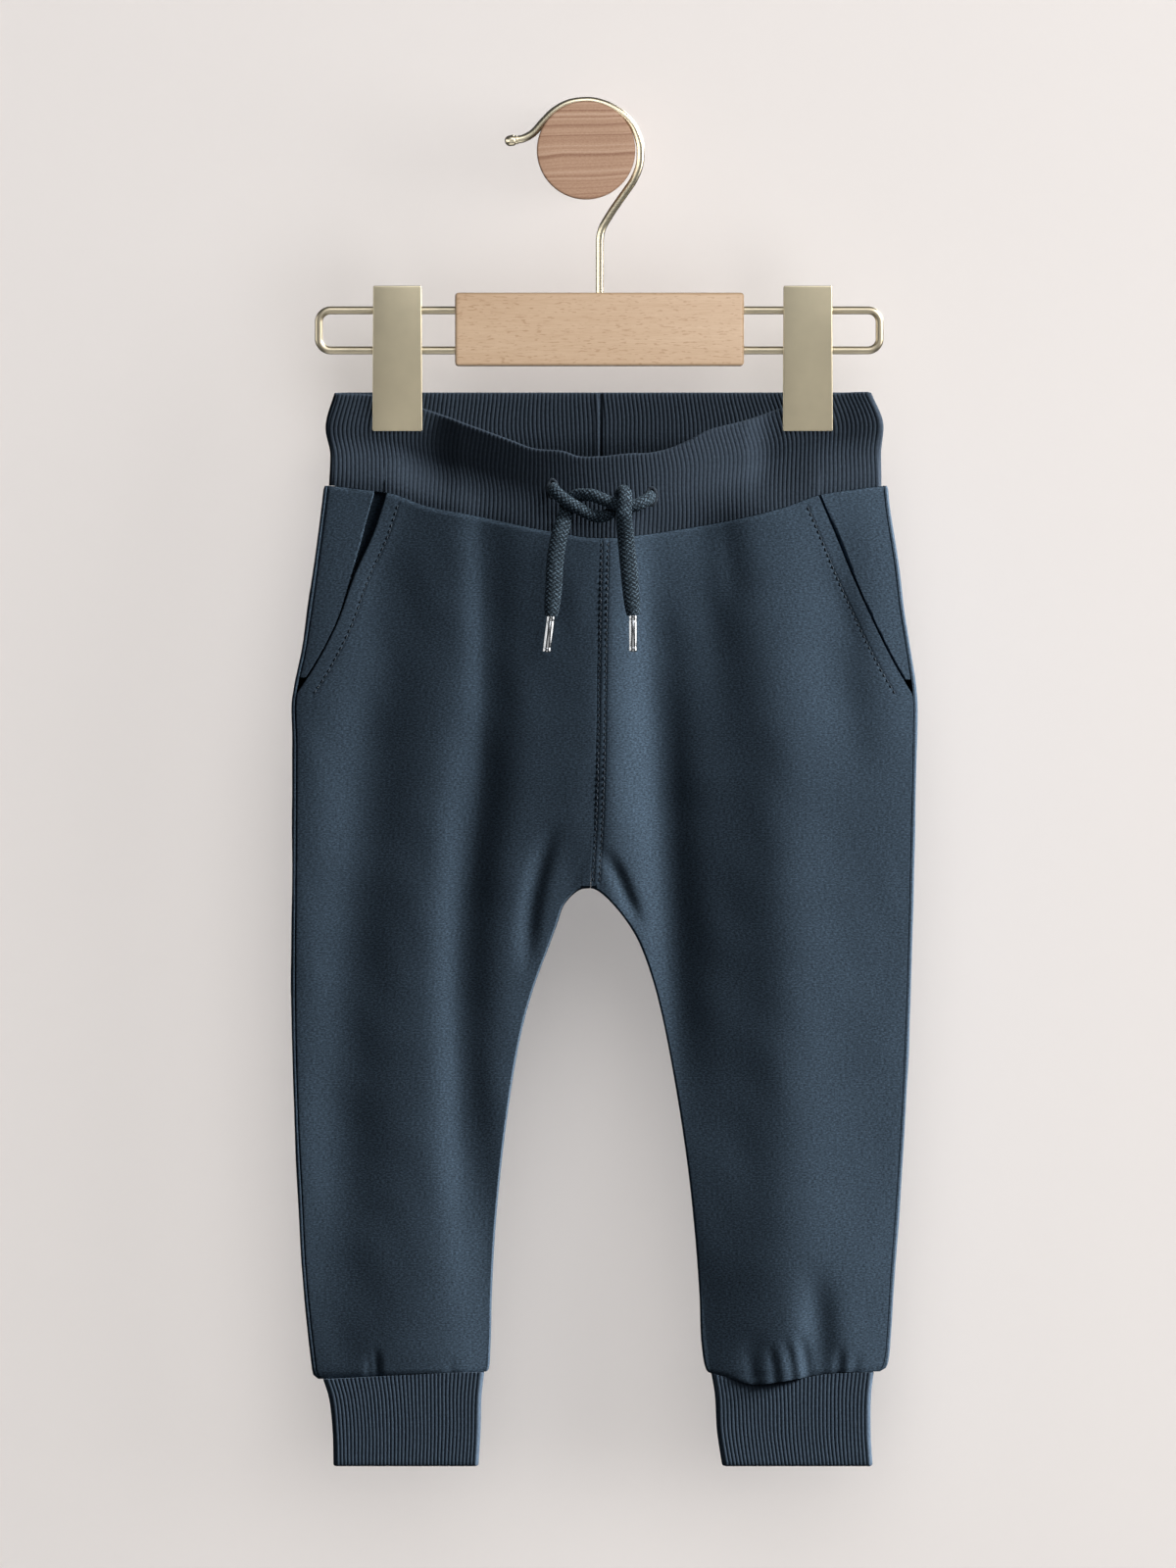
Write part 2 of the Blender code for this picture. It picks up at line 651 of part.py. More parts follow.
def material(name):
    mat = bpy.data.materials.get(name)
    if mat:
        return mat
    colour, rough, metal = COLOURS[name]
    mat = bpy.data.materials.new(name)
    mat.use_nodes = True
    shader = mat.node_tree.nodes["Principled BSDF"]
    shader.inputs["Base Color"].default_value = colour
    shader.inputs["Roughness"].default_value = rough
    shader.inputs["Metallic"].default_value = metal
    mat.diffuse_color = colour
    return mat


def add(name, points, faces, finish):
    """A mesh object from points in millimetres, its faces turned outwards."""
    mesh = bpy.data.meshes.new(name)
    mesh.from_pydata([tuple(float(c) * MM for c in p) for p in points], [], faces)
    shape = bmesh.new()
    shape.from_mesh(mesh)
    bmesh.ops.recalc_face_normals(shape, faces=shape.faces)
    if shape.calc_volume(signed=True) < 0:
        bmesh.ops.reverse_faces(shape, faces=shape.faces)
    shape.to_mesh(mesh)
    shape.free()
    mesh.shade_smooth()
    mesh.set_sharp_from_angle(angle=math.radians(45))
    mesh.materials.append(material(finish))
    obj = bpy.data.objects.new(name, mesh)
    bpy.context.scene.collection.objects.link(obj)
    return obj


def add_panel(name, outer, out, finish, thick=CLOTH):
    """A closed wall between a grid of outer points and the same grid moved in."""
    rows, cols, _ = outer.shape
    inner = outer - out * thick
    # The inside ends no lower and no higher than the outside, clear of what is sewn on there.
    inner[0, :, 2] = np.minimum(inner[0, :, 2], outer[0, :, 2])
    inner[-1, :, 2] = np.maximum(inner[-1, :, 2], outer[-1, :, 2])
    points = np.concatenate([outer.reshape(-1, 3), inner.reshape(-1, 3)])
    top = rows * cols

    def at(i, j, layer=0):
        return layer * top + i * cols + j

    faces = []
    for i in range(rows - 1):
        for j in range(cols - 1):
            faces.append((at(i, j), at(i + 1, j), at(i + 1, j + 1), at(i, j + 1)))
            faces.append((at(i, j + 1, 1), at(i + 1, j + 1, 1), at(i + 1, j, 1), at(i, j, 1)))
    for i in range(rows - 1):
        for j in (0, cols - 1):
            faces.append((at(i, j), at(i, j, 1), at(i + 1, j, 1), at(i + 1, j)))
    for j in range(cols - 1):
        for i in (0, rows - 1):
            faces.append((at(i, j), at(i, j + 1), at(i, j + 1, 1), at(i, j, 1)))
    return add(name, points, faces, finish)


def add_ribbed_ring(name, surface, ribs, shares, finish):
    """A closed ring of rib: a zigzag of ribs outside, plain inside."""
    count, inside = 4 * ribs, 2 * ribs // RIBS_PER_INNER
    step = count // inside
    # Shares are taken a quarter rib off the side edges, so that no column is exactly on one.
    outer_at = (np.arange(count) + 0.5) / count
    inner_at = (np.arange(inside) * step + 0.5) / count
    points, columns = [], []
    for layer_at, inner in ((outer_at, False), (inner_at, True)):
        rows = []
        for share in shares:
            high = np.full(len(layer_at), float(share))
            p, n = surface(layer_at, high), directions(surface, layer_at, high)
            if inner:
                level = share in (shares[0], shares[-1])
                p = p - n * RIB_CLOTH * np.array([1, 1, 0 if level else 1])
            else:
                raised = RIB_HEIGHT * (np.arange(count) % 2)
                p = p + n * raised[:, None]
            rows.append(range(len(points), len(points) + len(layer_at)))
            points.extend(p)
        columns.append(rows)
    outer, inner = columns
    faces = []
    for layer, flip in ((outer, False), (inner, True)):
        for low, high in zip(layer[:-1], layer[1:]):
            for j in range(len(low)):
                k = (j + 1) % len(low)
                face = (low[j], low[k], high[k], high[j])
                faces.append(face[::-1] if flip else face)
    for row, flip in ((0, False), (-1, True)):
        edge, plain = outer[row], inner[row]
        for j in range(count):
            k = (j + 1) % count
            a = plain[(j + step // 2) // step % inside]
            b = plain[(j + 1 + step // 2) // step % inside]
            face = (edge[k], edge[j], a) if a == b else (edge[k], edge[j], a, b)
            faces.append(face[::-1] if flip else face)
    return add(name, points, faces, finish)


def add_tube(name, line, radii, finish, sides=2):
    """A round tube along a line of points, with filled ends."""
    curve = bpy.data.curves.new(name, "CURVE")
    curve.dimensions = "3D"
    curve.bevel_depth = max(radii) * MM
    curve.bevel_resolution = sides
    curve.use_fill_caps = True
    spline = curve.splines.new("POLY")
    spline.points.add(len(line) - 1)
    for point, place, radius in zip(spline.points, line, radii):
        point.co = (*(float(c) * MM for c in place), 1)
        point.radius = radius / max(radii)
    curve.materials.append(material(finish))
    obj = bpy.data.objects.new(name, curve)
    bpy.context.scene.collection.objects.link(obj)
    return obj


def add_turned(name, profile, centre, axis, finish, sides):
    """A turned solid from a profile of (radius, distance) round the X or Y axis. A profile that
    doesn't start and end on the axis is closed into a tube."""
    points, rings = [], []
    for radius, along in profile:
        count = sides if radius > 0 else 1
        angles = np.arange(count) * 2 * math.pi / sides
        rings.append([len(points) + j for j in range(count)])
        points.extend((radius * math.cos(a), radius * math.sin(a), along) for a in angles)
    pairs = list(zip(rings[:-1], rings[1:]))
    if profile[0][0] > 0:
        pairs.append((rings[-1], rings[0]))
    faces = []
    for one, other in pairs:
        for j in range(sides):
            k = (j + 1) % sides
            face = (one[j % len(one)], one[k % len(one)], other[k % len(other)], other[j % len(other)])
            faces.append(tuple(dict.fromkeys(face)))
    order = {"X": (2, 0, 1), "Y": (1, 2, 0)}[axis]
    return add(name, np.array(points)[:, order] + np.array(centre), faces, finish)


def add_box(name, low, high, finish, round_edges=0.0, segments=2):
    shape = bmesh.new()
    bmesh.ops.create_cube(shape, size=1)
    low, high = np.array(low, float), np.array(high, float)
    for vert in shape.verts:
        vert.co = tuple((low + high) / 2 + np.array(vert.co) * (high - low))
    if round_edges:
        bmesh.ops.bevel(shape, geom=list(shape.edges), offset=round_edges, segments=segments,
                        profile=0.5, affect="EDGES")
    shape.verts.index_update()
    points = [tuple(v.co) for v in shape.verts]
    faces = [tuple(v.index for v in face.verts) for face in shape.faces]
    shape.free()
    return add(name, points, faces, finish)


def add_cutter(name, start, end, radius, sides=20):
    """A rod that only cuts its shape out of another piece."""
    start, end = np.array(start, float), np.array(end, float)
    direction = (end - start) / np.linalg.norm(end - start)
    across = np.cross(direction, (0, 1, 0))
    across /= np.linalg.norm(across)
    other = np.cross(direction, across)
    angles = np.arange(sides) * 2 * math.pi / sides
    around = radius * (np.cos(angles)[:, None] * across + np.sin(angles)[:, None] * other)
    points = np.concatenate([start + around, end + around])
    faces = [tuple(range(sides)), tuple(range(2 * sides - 1, sides - 1, -1))]
    faces += [(j, j + sides, (j + 1) % sides + sides, (j + 1) % sides) for j in range(sides)]
    cutter = add(name, points, faces, "beech")
    cutter.hide_render = True
    cutter.display_type = "WIRE"
    return cutter


def cut(piece, cutter):
    boolean = piece.modifiers.new(cutter.name, "BOOLEAN")
    boolean.operation = "DIFFERENCE"
    boolean.object = cutter


# The pieces


def sweatpants():
    for side in ("right", "left"):
        add_panel(f"front_{side}", *panel(side, True), "cloth")
        add_panel(f"back_{side}", *panel(side, False), "cloth")
        add_panel(f"pocket_back_{side}", *pocket_back(side), "pocket cloth")
        add_ribbed_ring(f"cuff_{side}", cuff_surface(side), CUFF_RIBS, CUFF_SHARES, "rib")
    add_ribbed_ring("waistband", band_surface, BAND_RIBS, BAND_SHARES, "rib")


def drawstring():
    for side, route in (("right", CORD_RIGHT), ("left", CORD_LEFT)):
        line = smooth_line(route, CORD_STEP)
        add_tube(f"drawstring_{side}", line[:, :3], line[:, 3] / 2, "cord")
        end = line[-1, :3]
        top = end + np.array([0, 0, -SEAM_GAP])
        lean = np.array([TIP_LEAN[side], 0, -TIP_LENGTH])
        shares = (0, 0.03, 0.97, 1)
        radii = (TIP_R - 0.3, TIP_R, TIP_R, TIP_R - 0.3)
        add_tube(f"tip_{side}", [top + lean * share for share in shares], radii, "tip metal")


def hook():
    """The hook's wire, from its seat in the block over the peg to a small ball."""
    line = smooth_line([(x, MID_Y, z) for x, z in HOOK_LINE], HOOK_STEP)
    onward = (line[-1] - line[-2]) / np.linalg.norm(line[-1] - line[-2])
    start = math.acos(WIRE_R / HOOK_BALL_R)
    angles = np.linspace(-start, math.radians(75), 6)[1:]
    ball = [line[-1] + onward * HOOK_BALL_R * (math.sin(a) + math.sin(start)) for a in angles]
    radii = [WIRE_R] * len(line) + [HOOK_BALL_R * math.cos(a) for a in angles]
    add_tube("hanger_hook", [*line, *ball], radii, "champagne metal")


def end_loop(name, end_x, block_x):
    """One end of the hanger's wire: out of the block, round two corners and back in."""
    sign = 1 if end_x > block_x else -1
    inside = block_x - sign * (SOCKET_DEPTH - SEAM_GAP)
    corners = []
    for centre_z, first in ((WIRE_TOP_Z - WIRE_CORNER_R, 90), (WIRE_BOTTOM_Z + WIRE_CORNER_R, 0)):
        for angle in np.radians(np.linspace(first, first - 90, 7)):
            x = end_x - sign * WIRE_CORNER_R * (1 - math.cos(angle))
            corners.append((x, MID_Y, centre_z + WIRE_CORNER_R * math.sin(angle)))
    line = [(inside, MID_Y, WIRE_TOP_Z), *corners, (inside, MID_Y, WIRE_BOTTOM_Z)]
    add_tube(name, line, [WIRE_R] * len(line), "champagne metal", 3)


def clip(side, centre):
    """Two plates, a spring round the lower wire between them."""
    half = CLIP_WIDTH / 2
    for name, sign in (("front", -1), ("rear", 1)):
        plate = add_box(f"clip_{side}_{name}", (-half, 0, CLIP_JAW_Z), (half, CLIP_THICK, CLIP_TOP_Z),
                        "champagne metal", CLIP_BEVEL)
        for vert in plate.data.vertices:
            x, y, z = (c / MM for c in vert.co)
            share = (z - CLIP_JAW_Z) / (CLIP_TOP_Z - CLIP_JAW_Z)
            apart = CLIP_JAW_Y + (CLIP_TOP_Y - CLIP_JAW_Y) * share
            vert.co = ((x + centre) * MM, (MID_Y + sign * (apart + y)) * MM, z * MM)
        if sign < 0:
            plate.data.flip_normals()
    half_gap = CLIP_JAW_Y + (CLIP_TOP_Y - CLIP_JAW_Y) * (WIRE_BOTTOM_Z - CLIP_JAW_Z) / (CLIP_TOP_Z - CLIP_JAW_Z)
    outer = half_gap - SEAM_GAP
    length = SPRING_LENGTH / 2
    profile = [(SOCKET_R, -length), (outer, -length), (outer, length), (SOCKET_R, length)]
    add_turned(f"clip_{side}_spring", profile, (centre, MID_Y, WIRE_BOTTOM_Z), "X", "champagne metal", 24)


def hanger():
    hook()
    end_loop("hanger_wire_right", WIRE_ENDS_X[0], BLOCK_X[0])
    end_loop("hanger_wire_left", WIRE_ENDS_X[1], BLOCK_X[1])
    half = BLOCK_THICK / 2
    block = add_box("hanger_block", (BLOCK_X[0], MID_Y - half, BLOCK_Z[0]),
                    (BLOCK_X[1], MID_Y + half, BLOCK_Z[1]), "beech", BLOCK_ROUND, 3)
    foot = HOOK_LINE[0][1] - SEAM_GAP
    cut(block, add_cutter("socket_hook", (HOOK_X, MID_Y, foot), (HOOK_X, MID_Y, BLOCK_Z[1] + CUT_OVER), SOCKET_R))
    for end, sign in ((BLOCK_X[0], -1), (BLOCK_X[1], 1)):
        for z in (WIRE_TOP_Z, WIRE_BOTTOM_Z):
            start, stop = (end - sign * SOCKET_DEPTH, MID_Y, z), (end + sign * CUT_OVER, MID_Y, z)
            cut(block, add_cutter(f"socket_{end:.0f}_{z:.0f}", start, stop, SOCKET_R))
    for side, centre in CLIPS.items():
        clip(side, centre)


def wall_peg():
    rim, back = PEG_R - PEG_BEVEL, -PEG_LENGTH
    neck = [(0, 0), (PEG_NECK_R, 0), (PEG_NECK_R, -PEG_NECK)]
    profile = neck + [(PEG_R, -PEG_NECK), (PEG_R, back + PEG_BEVEL), (rim, back), (0, back)]
    add_turned("wall_peg", profile, (0, 0, 0), "Y", "peg wood", 48)


def main():
    for obj in list(bpy.data.objects):
        bpy.data.objects.remove(obj, do_unlink=True)
    sweatpants()
    drawstring()
    hanger()
    wall_peg()


main()
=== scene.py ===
"""Looks for the toddler's jogger sweatpants on their hanger and wall peg.

The frame gives the sizes. Each piece here is a finer one on the same surfaces: cloth with its
creases, rolled seams and stitches, real ribs, braided cords, sprung clips, wire and wood.
Lengths are in millimetres and become metres when a mesh is made.
+X is the wearer's left, +Y points to the wall and +Z up.
"""

import math

import bmesh
import bpy
import numpy as np
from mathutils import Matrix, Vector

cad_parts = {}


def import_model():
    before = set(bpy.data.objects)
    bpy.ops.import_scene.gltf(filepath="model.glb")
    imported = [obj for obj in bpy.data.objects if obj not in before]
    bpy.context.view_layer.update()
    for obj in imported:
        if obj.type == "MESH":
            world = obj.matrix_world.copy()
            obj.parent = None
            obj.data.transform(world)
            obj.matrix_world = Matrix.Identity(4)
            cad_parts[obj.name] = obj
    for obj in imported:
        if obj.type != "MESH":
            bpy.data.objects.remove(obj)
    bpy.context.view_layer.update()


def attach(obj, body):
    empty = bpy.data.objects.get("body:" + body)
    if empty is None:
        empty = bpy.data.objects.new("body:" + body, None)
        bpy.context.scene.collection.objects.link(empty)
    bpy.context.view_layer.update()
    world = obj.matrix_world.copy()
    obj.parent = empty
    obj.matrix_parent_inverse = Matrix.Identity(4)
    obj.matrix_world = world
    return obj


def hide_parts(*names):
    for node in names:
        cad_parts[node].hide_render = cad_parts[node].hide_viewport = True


MM = 0.001
SIGN = {"right": 1, "left": -1}  # the way in from each side's edge
COLUMN = {"right": 1, "left": 2}  # each side's column in a table of heights

# The whole
MID_Y = -45.0  # the plane of the hanger's wires and of the garment's side edges
SEAM_GAP = 0.3  # between two pieces that are sewn or rest together
CLOTH = 2.0  # brushed sweatshirt cloth with its seam allowances
RIB_CLOTH = 2.5  # doubled rib of waistband and cuffs

# Side edges of the body: height, wearer's right edge, wearer's left edge
SIDES = (
    (-154.2, -120.4, 138.6), (-164, -121.6, 139.6), (-190, -125, 143.6), (-210, -127.8, 146),
    (-230, -130.8, 149.2), (-247, -134.4, 151.6), (-256, -135.4, 152.2), (-273, -134.8, 152),
    (-318, -135, 151), (-381, -135.4, 149.4), (-444, -134.1, 146.7), (-480, -132.3, 144.4),
    (-516, -130.4, 141.8), (-545, -127.6, 140), (-556, -126.2, 139), (-560, -125.6, 138.2),
    (-562, -124.8, 137), (-563, -123.4, 135),
)
# Inner edges of the legs from the crotch down: height, right leg, left leg
INSEAMS = (
    (-338.8, 2, 2), (-339.2, -2, 3.8), (-341.4, -5.6, 7.4), (-346.7, -10.2, 12.8), (-354, -12.8, 18.6),
    (-362.9, -16, 23.9), (-380.9, -22.8, 30.6), (-398.9, -28.2, 35.2), (-416.9, -32, 38.8),
    (-443.9, -36.2, 43.4), (-470.9, -39.4, 47.2), (-497.9, -41.8, 50), (-524.9, -43.2, 52),
    (-550, -43.9, 53.2), (-560, -44.8, 55.2), (-563, -46.4, 57.2),
)
# Centre-front seam, which the centre-back seam mirrors in depth: height, place
CENTRE_SEAM = (
    (-150, 6.6), (-178, 6.3), (-236, 5.2), (-278, 4.6), (-310, 3.6), (-338.8, 2),
)
CROTCH_Z = -338.8
CROTCH_SIDE_Z = -331.0  # where the row through the crotch meets the side edges
HEM_Z = -563.0  # lower end of the body, where the cuffs are sewn on

# Seam between waistband and body on the front: place, height. The back's is level.
WAIST_FRONT = (
    (-121, -153.6), (-97, -156.6), (-88, -158), (-74, -163.4), (-53, -167.6), (-17, -175),
    (6.3, -178.2), (45.5, -173.8), (90, -164.4), (106, -158.8), (122, -156), (139, -153.8),
)
WAIST_BACK_Z = -154.0

# Rounding of the body's edges and depth of the cloth in front of and behind the mid-plane
EDGE_R = 0.9  # how far in the front turns over at its edges, where it is pressed flat
BACK_R = 7.0  # and the back of the body, waistband and cuffs
SEAM_IN = 2.0  # the side seams lie this far in from the edge, on the front
INSEAM_GAP_SHARE = EDGE_R / 9  # of a seam's gap, at the inner legs, where the surface turns faster
# Depth of the front, then of the back, from the mid-plane: height, outer edge, how much further
# the middle of the trunk is, inner edge of each leg's form, how much further a leg's middle is
DEPTHS = (
    (-150.0, 6.5, 12.0, 15.0, 5.0, 6.0, 3.5, 9.0, 2.0),
    (-200.0, 6.8, 11.5, 16.0, 4.4, 6.5, 7.0, 13.0, 4.0),
    (-260.0, 6.8, 9.0, 15.0, 3.8, 7.0, 8.5, 14.0, 5.0),
    (-330.0, 6.8, 7.0, 13.5, 3.4, 7.0, 7.0, 12.0, 5.0),
    (-420.0, 6.8, 6.0, 10.0, 3.2, 6.5, 6.0, 8.5, 4.5),
    (-563.0, 6.2, 4.0, 7.4, 2.6, 6.0, 4.0, 6.0, 3.0),
)
LEGS_FROM, LEGS_TO = -170.0, -250.0  # the trunk's form turns into the legs' between these
# Where the two legs' forms meet or end inside: height, right, left
CORES = (
    (-150, 6.6, 6.6), (-236, 5.2, 5.2), (-290, 4.2, 4.2), (-320, 1, 6.5), (-350, -12, 18),
    (-390, -26, 33), (-444, -36.2, 43.4), (-563, -46.4, 57.2),
)
# The hem on the front, where the cuff gathers it: place, height. The back's is level.
HEM_FRONT = (
    (-124, -564), (-44, -560.6), (55, -560.8), (64, -562.6), (78.6, -566.4), (95, -564.2),
    (109, -561.6), (137, -560.4),
)
HEM_EASE = 16.0  # the rows above follow the hem over this height
HEM_TUCK, HEM_TUCK_HEIGHT = 0.02, 3.0  # the legs draw in by this share just above the cuffs

# Folds of the front and the back, then their creases. Each is a soft trough, or with a negative
# depth a ridge, along a line through three points: top, middle and bottom as (height, place),
# the spread on its right and on its left side as worn, and its depth, which fades at both ends
FRONT_FOLDS = (
    ("right hip", (-40, -130), (-220, -136), (-400, -142), 6, 23, -4.8),
    ("right side", (-230, -140), (-370, -141), (-610, -139), 6, 19, -3.4),
    ("right outer", (-110, -78), (-330, -105), (-640, -124), 10, 12, 1.7),
    ("right thigh", (-120, -48.5), (-255, -46), (-380, -56), 5, 9, 1.7),
    ("right leg", (-215, -50), (-385, -57.5), (-560, -53), 6.5, 9, 2.8),
    ("right shin", (-380, -104), (-500, -106), (-620, -106), 12, 16, 0.8),
    ("right inner", (-430, -49), (-530, -43), (-640, -43), 9, 7, 1.5),
    ("seam", (-140, 8.5), (-270, 9.5), (-372, 8), 17, 8, -2.9),
    ("left inner", (-125, 30), (-290, 33.5), (-470, 47), 6.5, 9, 2.8),
    ("left broad", (-190, 44), (-310, 43), (-490, 49), 12, 24, 3.3),
    ("left hip", (-90, 46), (-190, 53), (-280, 60), 15, 12, 3.1),
    ("left pocket", (-140, 113), (-225, 116), (-310, 125), 12, 9, 1.7),
    ("left flank", (-60, 150), (-215, 152), (-380, 155), 55, 6, -5.0),
    ("left thigh", (-190, 84), (-370, 93), (-570, 92), 12, 13, -1.5),
    ("left calf", (-420, 100), (-540, 98), (-660, 96), 30, 22, -2.5),
    ("left side", (-230, 157), (-370, 156), (-560, 150), 18, 6, -1.4),
    ("left shin", (-505, 105), (-543, 106.5), (-590, 108), 5, 6, 2.3),
    ("left ankle", (-540, 78), (-552, 77), (-575, 76), 4, 4, 0.4),
)
BACK_FOLDS = (
    ("right seat", (-170, -52), (-250, -60), (-345, -40), 11, 11, 2.2),
    ("left seat", (-170, 66), (-250, 76), (-345, 56), 11, 11, 2.2),
    ("right knee", (-330, -75), (-430, -84), (-530, -84), 10, 10, 2.6),
    ("left knee", (-330, 92), (-430, 98), (-530, 96), 10, 10, 2.6),
    ("right ankle", (-532, -70), (-550, -71), (-575, -72), 4, 4, 1.2),
    ("left ankle", (-536, 88), (-552, 88), (-575, 88), 4, 4, 1.2),
)
FINE_FRONT = (
    ("crotch right", (-305, -14), (-344, -24.5), (-384, -28), 3.4, 3.2, 1.4),
    ("crotch left", (-318, 8), (-338, 17), (-360, 26), 2.6, 2.6, 1.3),
    ("left waist 1", (-160, 63), (-184, 66), (-216, 69), 3.5, 6.0, 0.35),
    ("right hem 1", (-550, -99.5), (-559, -99.5), (-574, -99), 1.2, 1.6, 0.4),
    ("right hem 2", (-548, -96.5), (-558, -96), (-572, -95), 1.2, 1.4, 0.6),
    ("right hem 3", (-553, -62), (-561, -62), (-572, -62), 1.6, 2.2, 0.3),
    ("left hem 1", (-548, 74), (-559, 76), (-576, 80), 1.8, 2.0, 0.3),
    ("left hem 2", (-546, 84), (-558, 86), (-576, 88), 1.6, 1.8, 0.6),
    ("left hem 3", (-543, 91), (-556, 94), (-576, 96), 1.8, 2.0, 0.8),
    ("left hem 4", (-540, 98), (-556, 100.5), (-576, 103), 1.8, 2.2, 1.2),
    ("left hem 5", (-546, 117), (-558, 116), (-576, 114), 1.7, 2.0, 0.7),
    ("left hem 6", (-549, 125), (-560, 123), (-576, 120), 1.5, 1.8, 0.5),
)
FINE_BACK = (
    ("crotch right", (-300, -18), (-332, -24), (-372, -32), 4.0, 5.0, 0.9),
    ("crotch left", (-300, 22), (-332, 28), (-372, 36), 4.0, 5.0, 0.9),
    ("waist 1", (-157, -74), (-176, -74), (-200, -76), 3.0, 4.0, 0.6),
    ("waist 2", (-157, -30), (-174, -31), (-196, -33), 2.6, 3.6, 0.5),
    ("waist 3", (-157, 46), (-178, 46), (-204, 48), 3.0, 4.0, 0.6),
    ("waist 4", (-157, 92), (-174, 92), (-194, 94), 2.6, 3.6, 0.5),
    ("right hem 1", (-546, -101), (-557, -100), (-572, -99), 1.6, 2.0, 0.8),
    ("right hem 2", (-549, -84), (-558, -84), (-572, -84), 1.6, 2.0, 0.7),
    ("right hem 3", (-548, -66), (-558, -66), (-572, -66), 1.6, 2.0, 0.7),
    ("left hem 1", (-546, 78), (-557, 78), (-572, 79), 1.6, 2.0, 0.8),
    ("left hem 2", (-549, 96), (-558, 96), (-572, 96), 1.6, 2.0, 0.7),
    ("left hem 3", (-548, 112), (-558, 112), (-572, 111), 1.6, 2.0, 0.8),
)

# Slanted pocket openings, edge of the front panel: height, right pocket, left pocket
POCKETS = (
    (-156, -91, 105.4), (-176, -97.6, 114), (-195, -106.2, 121.8), (-217, -114.2, 131.8),
    (-236, -124, 141.4), (-250, -133.2, 149.8),
)
# How far each opening's edge stands off: height, middle, spread
POCKET_LIFT = (("right", 0.4, -178.0, 20.0), ("left", 0.4, -190.0, 30.0))
POCKET_LIFT_IN = 14.0  # the lifted edge settles over this width
POCKET_UNDER = 9.0  # the panel behind reaches this far under the front
POCKET_GAP_UNDER = 1.0  # and is this far beneath it
POCKET_TIP = 3.5  # the panel behind ends where the opening is this far from the seam

# Waistband: share of its height from the bottom, right edge, left edge
BAND_EDGES = (
    (0, -117.8, 135.4), (0.33, -117.3, 135.3), (0.62, -119.4, 136.4), (1, -115.3, 130.6),
)
BAND_TOP_FRONT = (
    (-121, -111.6), (-98, -112.2), (-74, -118.6), (-53, -126.3), (-35, -133), (-24, -137),
    (-10.4, -138.3), (-3.6, -140.6), (5.4, -140.7), (19, -139.4), (30.2, -138.9), (37, -137.4),
    (46, -133.7), (55, -129), (64, -126.2), (73, -124), (89.5, -118.2), (112, -111.8), (138, -110.6),
)
BAND_TOP_BACK_Z = -111.0
BAND_EDGE_R = 1.2  # rounding of the front's edges
BAND_RIBS = 132  # on each of front and back
BAND_SAG_DEPTH = 15.5  # how far the front's top edge bows out between the clips
BAND_END_DEPTH = 3.3  # half depth of the band outside the clips
BAND_FREE = 0.55  # share of the height below the clips' grip
BAND_PINCHED = RIB_CLOTH + SEAM_GAP / 2
# Half width that a clip holds flat, and how soon the band opens beside it
BAND_HELD, BAND_SPREAD = 12.5, 17.0
BAND_BACK_BOW = 1.2  # how far the back's top edge bows out between the clips
BAND_TUCK = 0.8  # the band's lower edge lies this far inside the body's surface
RIB_HEIGHT = 0.28
BAND_SEAM = (6.8, 0.8)  # the band's own seam, at the centre of the back: place, depth

# Cuffs: height, right cuff's outer and inner edge, left cuff's inner and outer edge
CUFF_EDGES = (
    (-563.3, -120.6, -46.9, 57.7, 131.9), (-572, -118, -48.1, 59.3, 130.7),
    (-588, -116.2, -48.6, 60.3, 130.5), (-604.4, -115.8, -49.6, 62.8, 131.4),
)
CUFF_EDGE_R = 1.1  # rounding of the front's edges
CUFF_DEPTHS = ((-563.3, 8.8, 8.4), (-604.4, 6.4, 6.4))  # height, front, back
CUFF_RIBS = 41

# Drawstring: place, depth, height and thickness of each point of the two visible ends, from
# its buttonhole over the knot to its metal tip. Right as worn first.
CORD_RIGHT = (
    (-15.4, -62.7, -155.4, 4.4), (-15.3, -65.4, -155.6, 4.4), (-14.6, -68.2, -156.4, 4.4),
    (-12.6, -70.4, -158.4, 4.4), (-9.6, -71, -160.8, 4.4), (-4.8, -70.4, -163.8, 4.4),
    (1.2, -68.2, -167, 4.4), (6.6, -66.8, -168.4, 4.4), (11.2, -66.2, -166.6, 4.4),
    (14.4, -66, -163, 4.4), (15.8, -66.6, -158.6, 4.4), (17, -70.2, -156, 4.4), (18, -74.4, -158, 4.6),
    (17.8, -76.2, -162.4, 5), (17.4, -76.2, -166.4, 5.4), (17.6, -74.2, -171.8, 5.8),
    (18.2, -71.4, -178, 6.2), (19.2, -69.2, -187.6, 6.4), (20.4, -67.8, -200.6, 6.2),
    (21.2, -67, -209.2, 5.4), (21.6, -66.6, -213.4, 4.4),
)
CORD_LEFT = (
    (29.8, -62.9, -159.2, 4.4), (29.7, -65.6, -159.4, 4.4), (28.2, -68.6, -160.4, 4.4),
    (25.2, -70.4, -162.2, 4.4), (21.2, -70.9, -163.6, 4.4), (16.4, -70.9, -163.6, 4.4),
    (11.4, -71.2, -162, 4.4), (6.4, -71.2, -160, 4.4), (1.4, -70, -158.4, 4.4),
    (-3.2, -67, -158.4, 4.4), (-6.8, -65.5, -160.4, 4.4), (-8.6, -65.8, -164, 4.8),
    (-9.6, -66.8, -168.2, 5.4), (-11.2, -67.6, -173.4, 6), (-12.8, -68, -179.6, 6.4),
    (-14.2, -67.6, -188.6, 6.4), (-14.8, -67.2, -200, 6.2), (-15.6, -66.8, -209.6, 5.4),
    (-16, -66.6, -213.8, 4.4),
)
TIP_R, TIP_LENGTH = 1.9, 16.4
TIP_SEAM = 1.15  # where round the tip its sheet metal meets, in radians
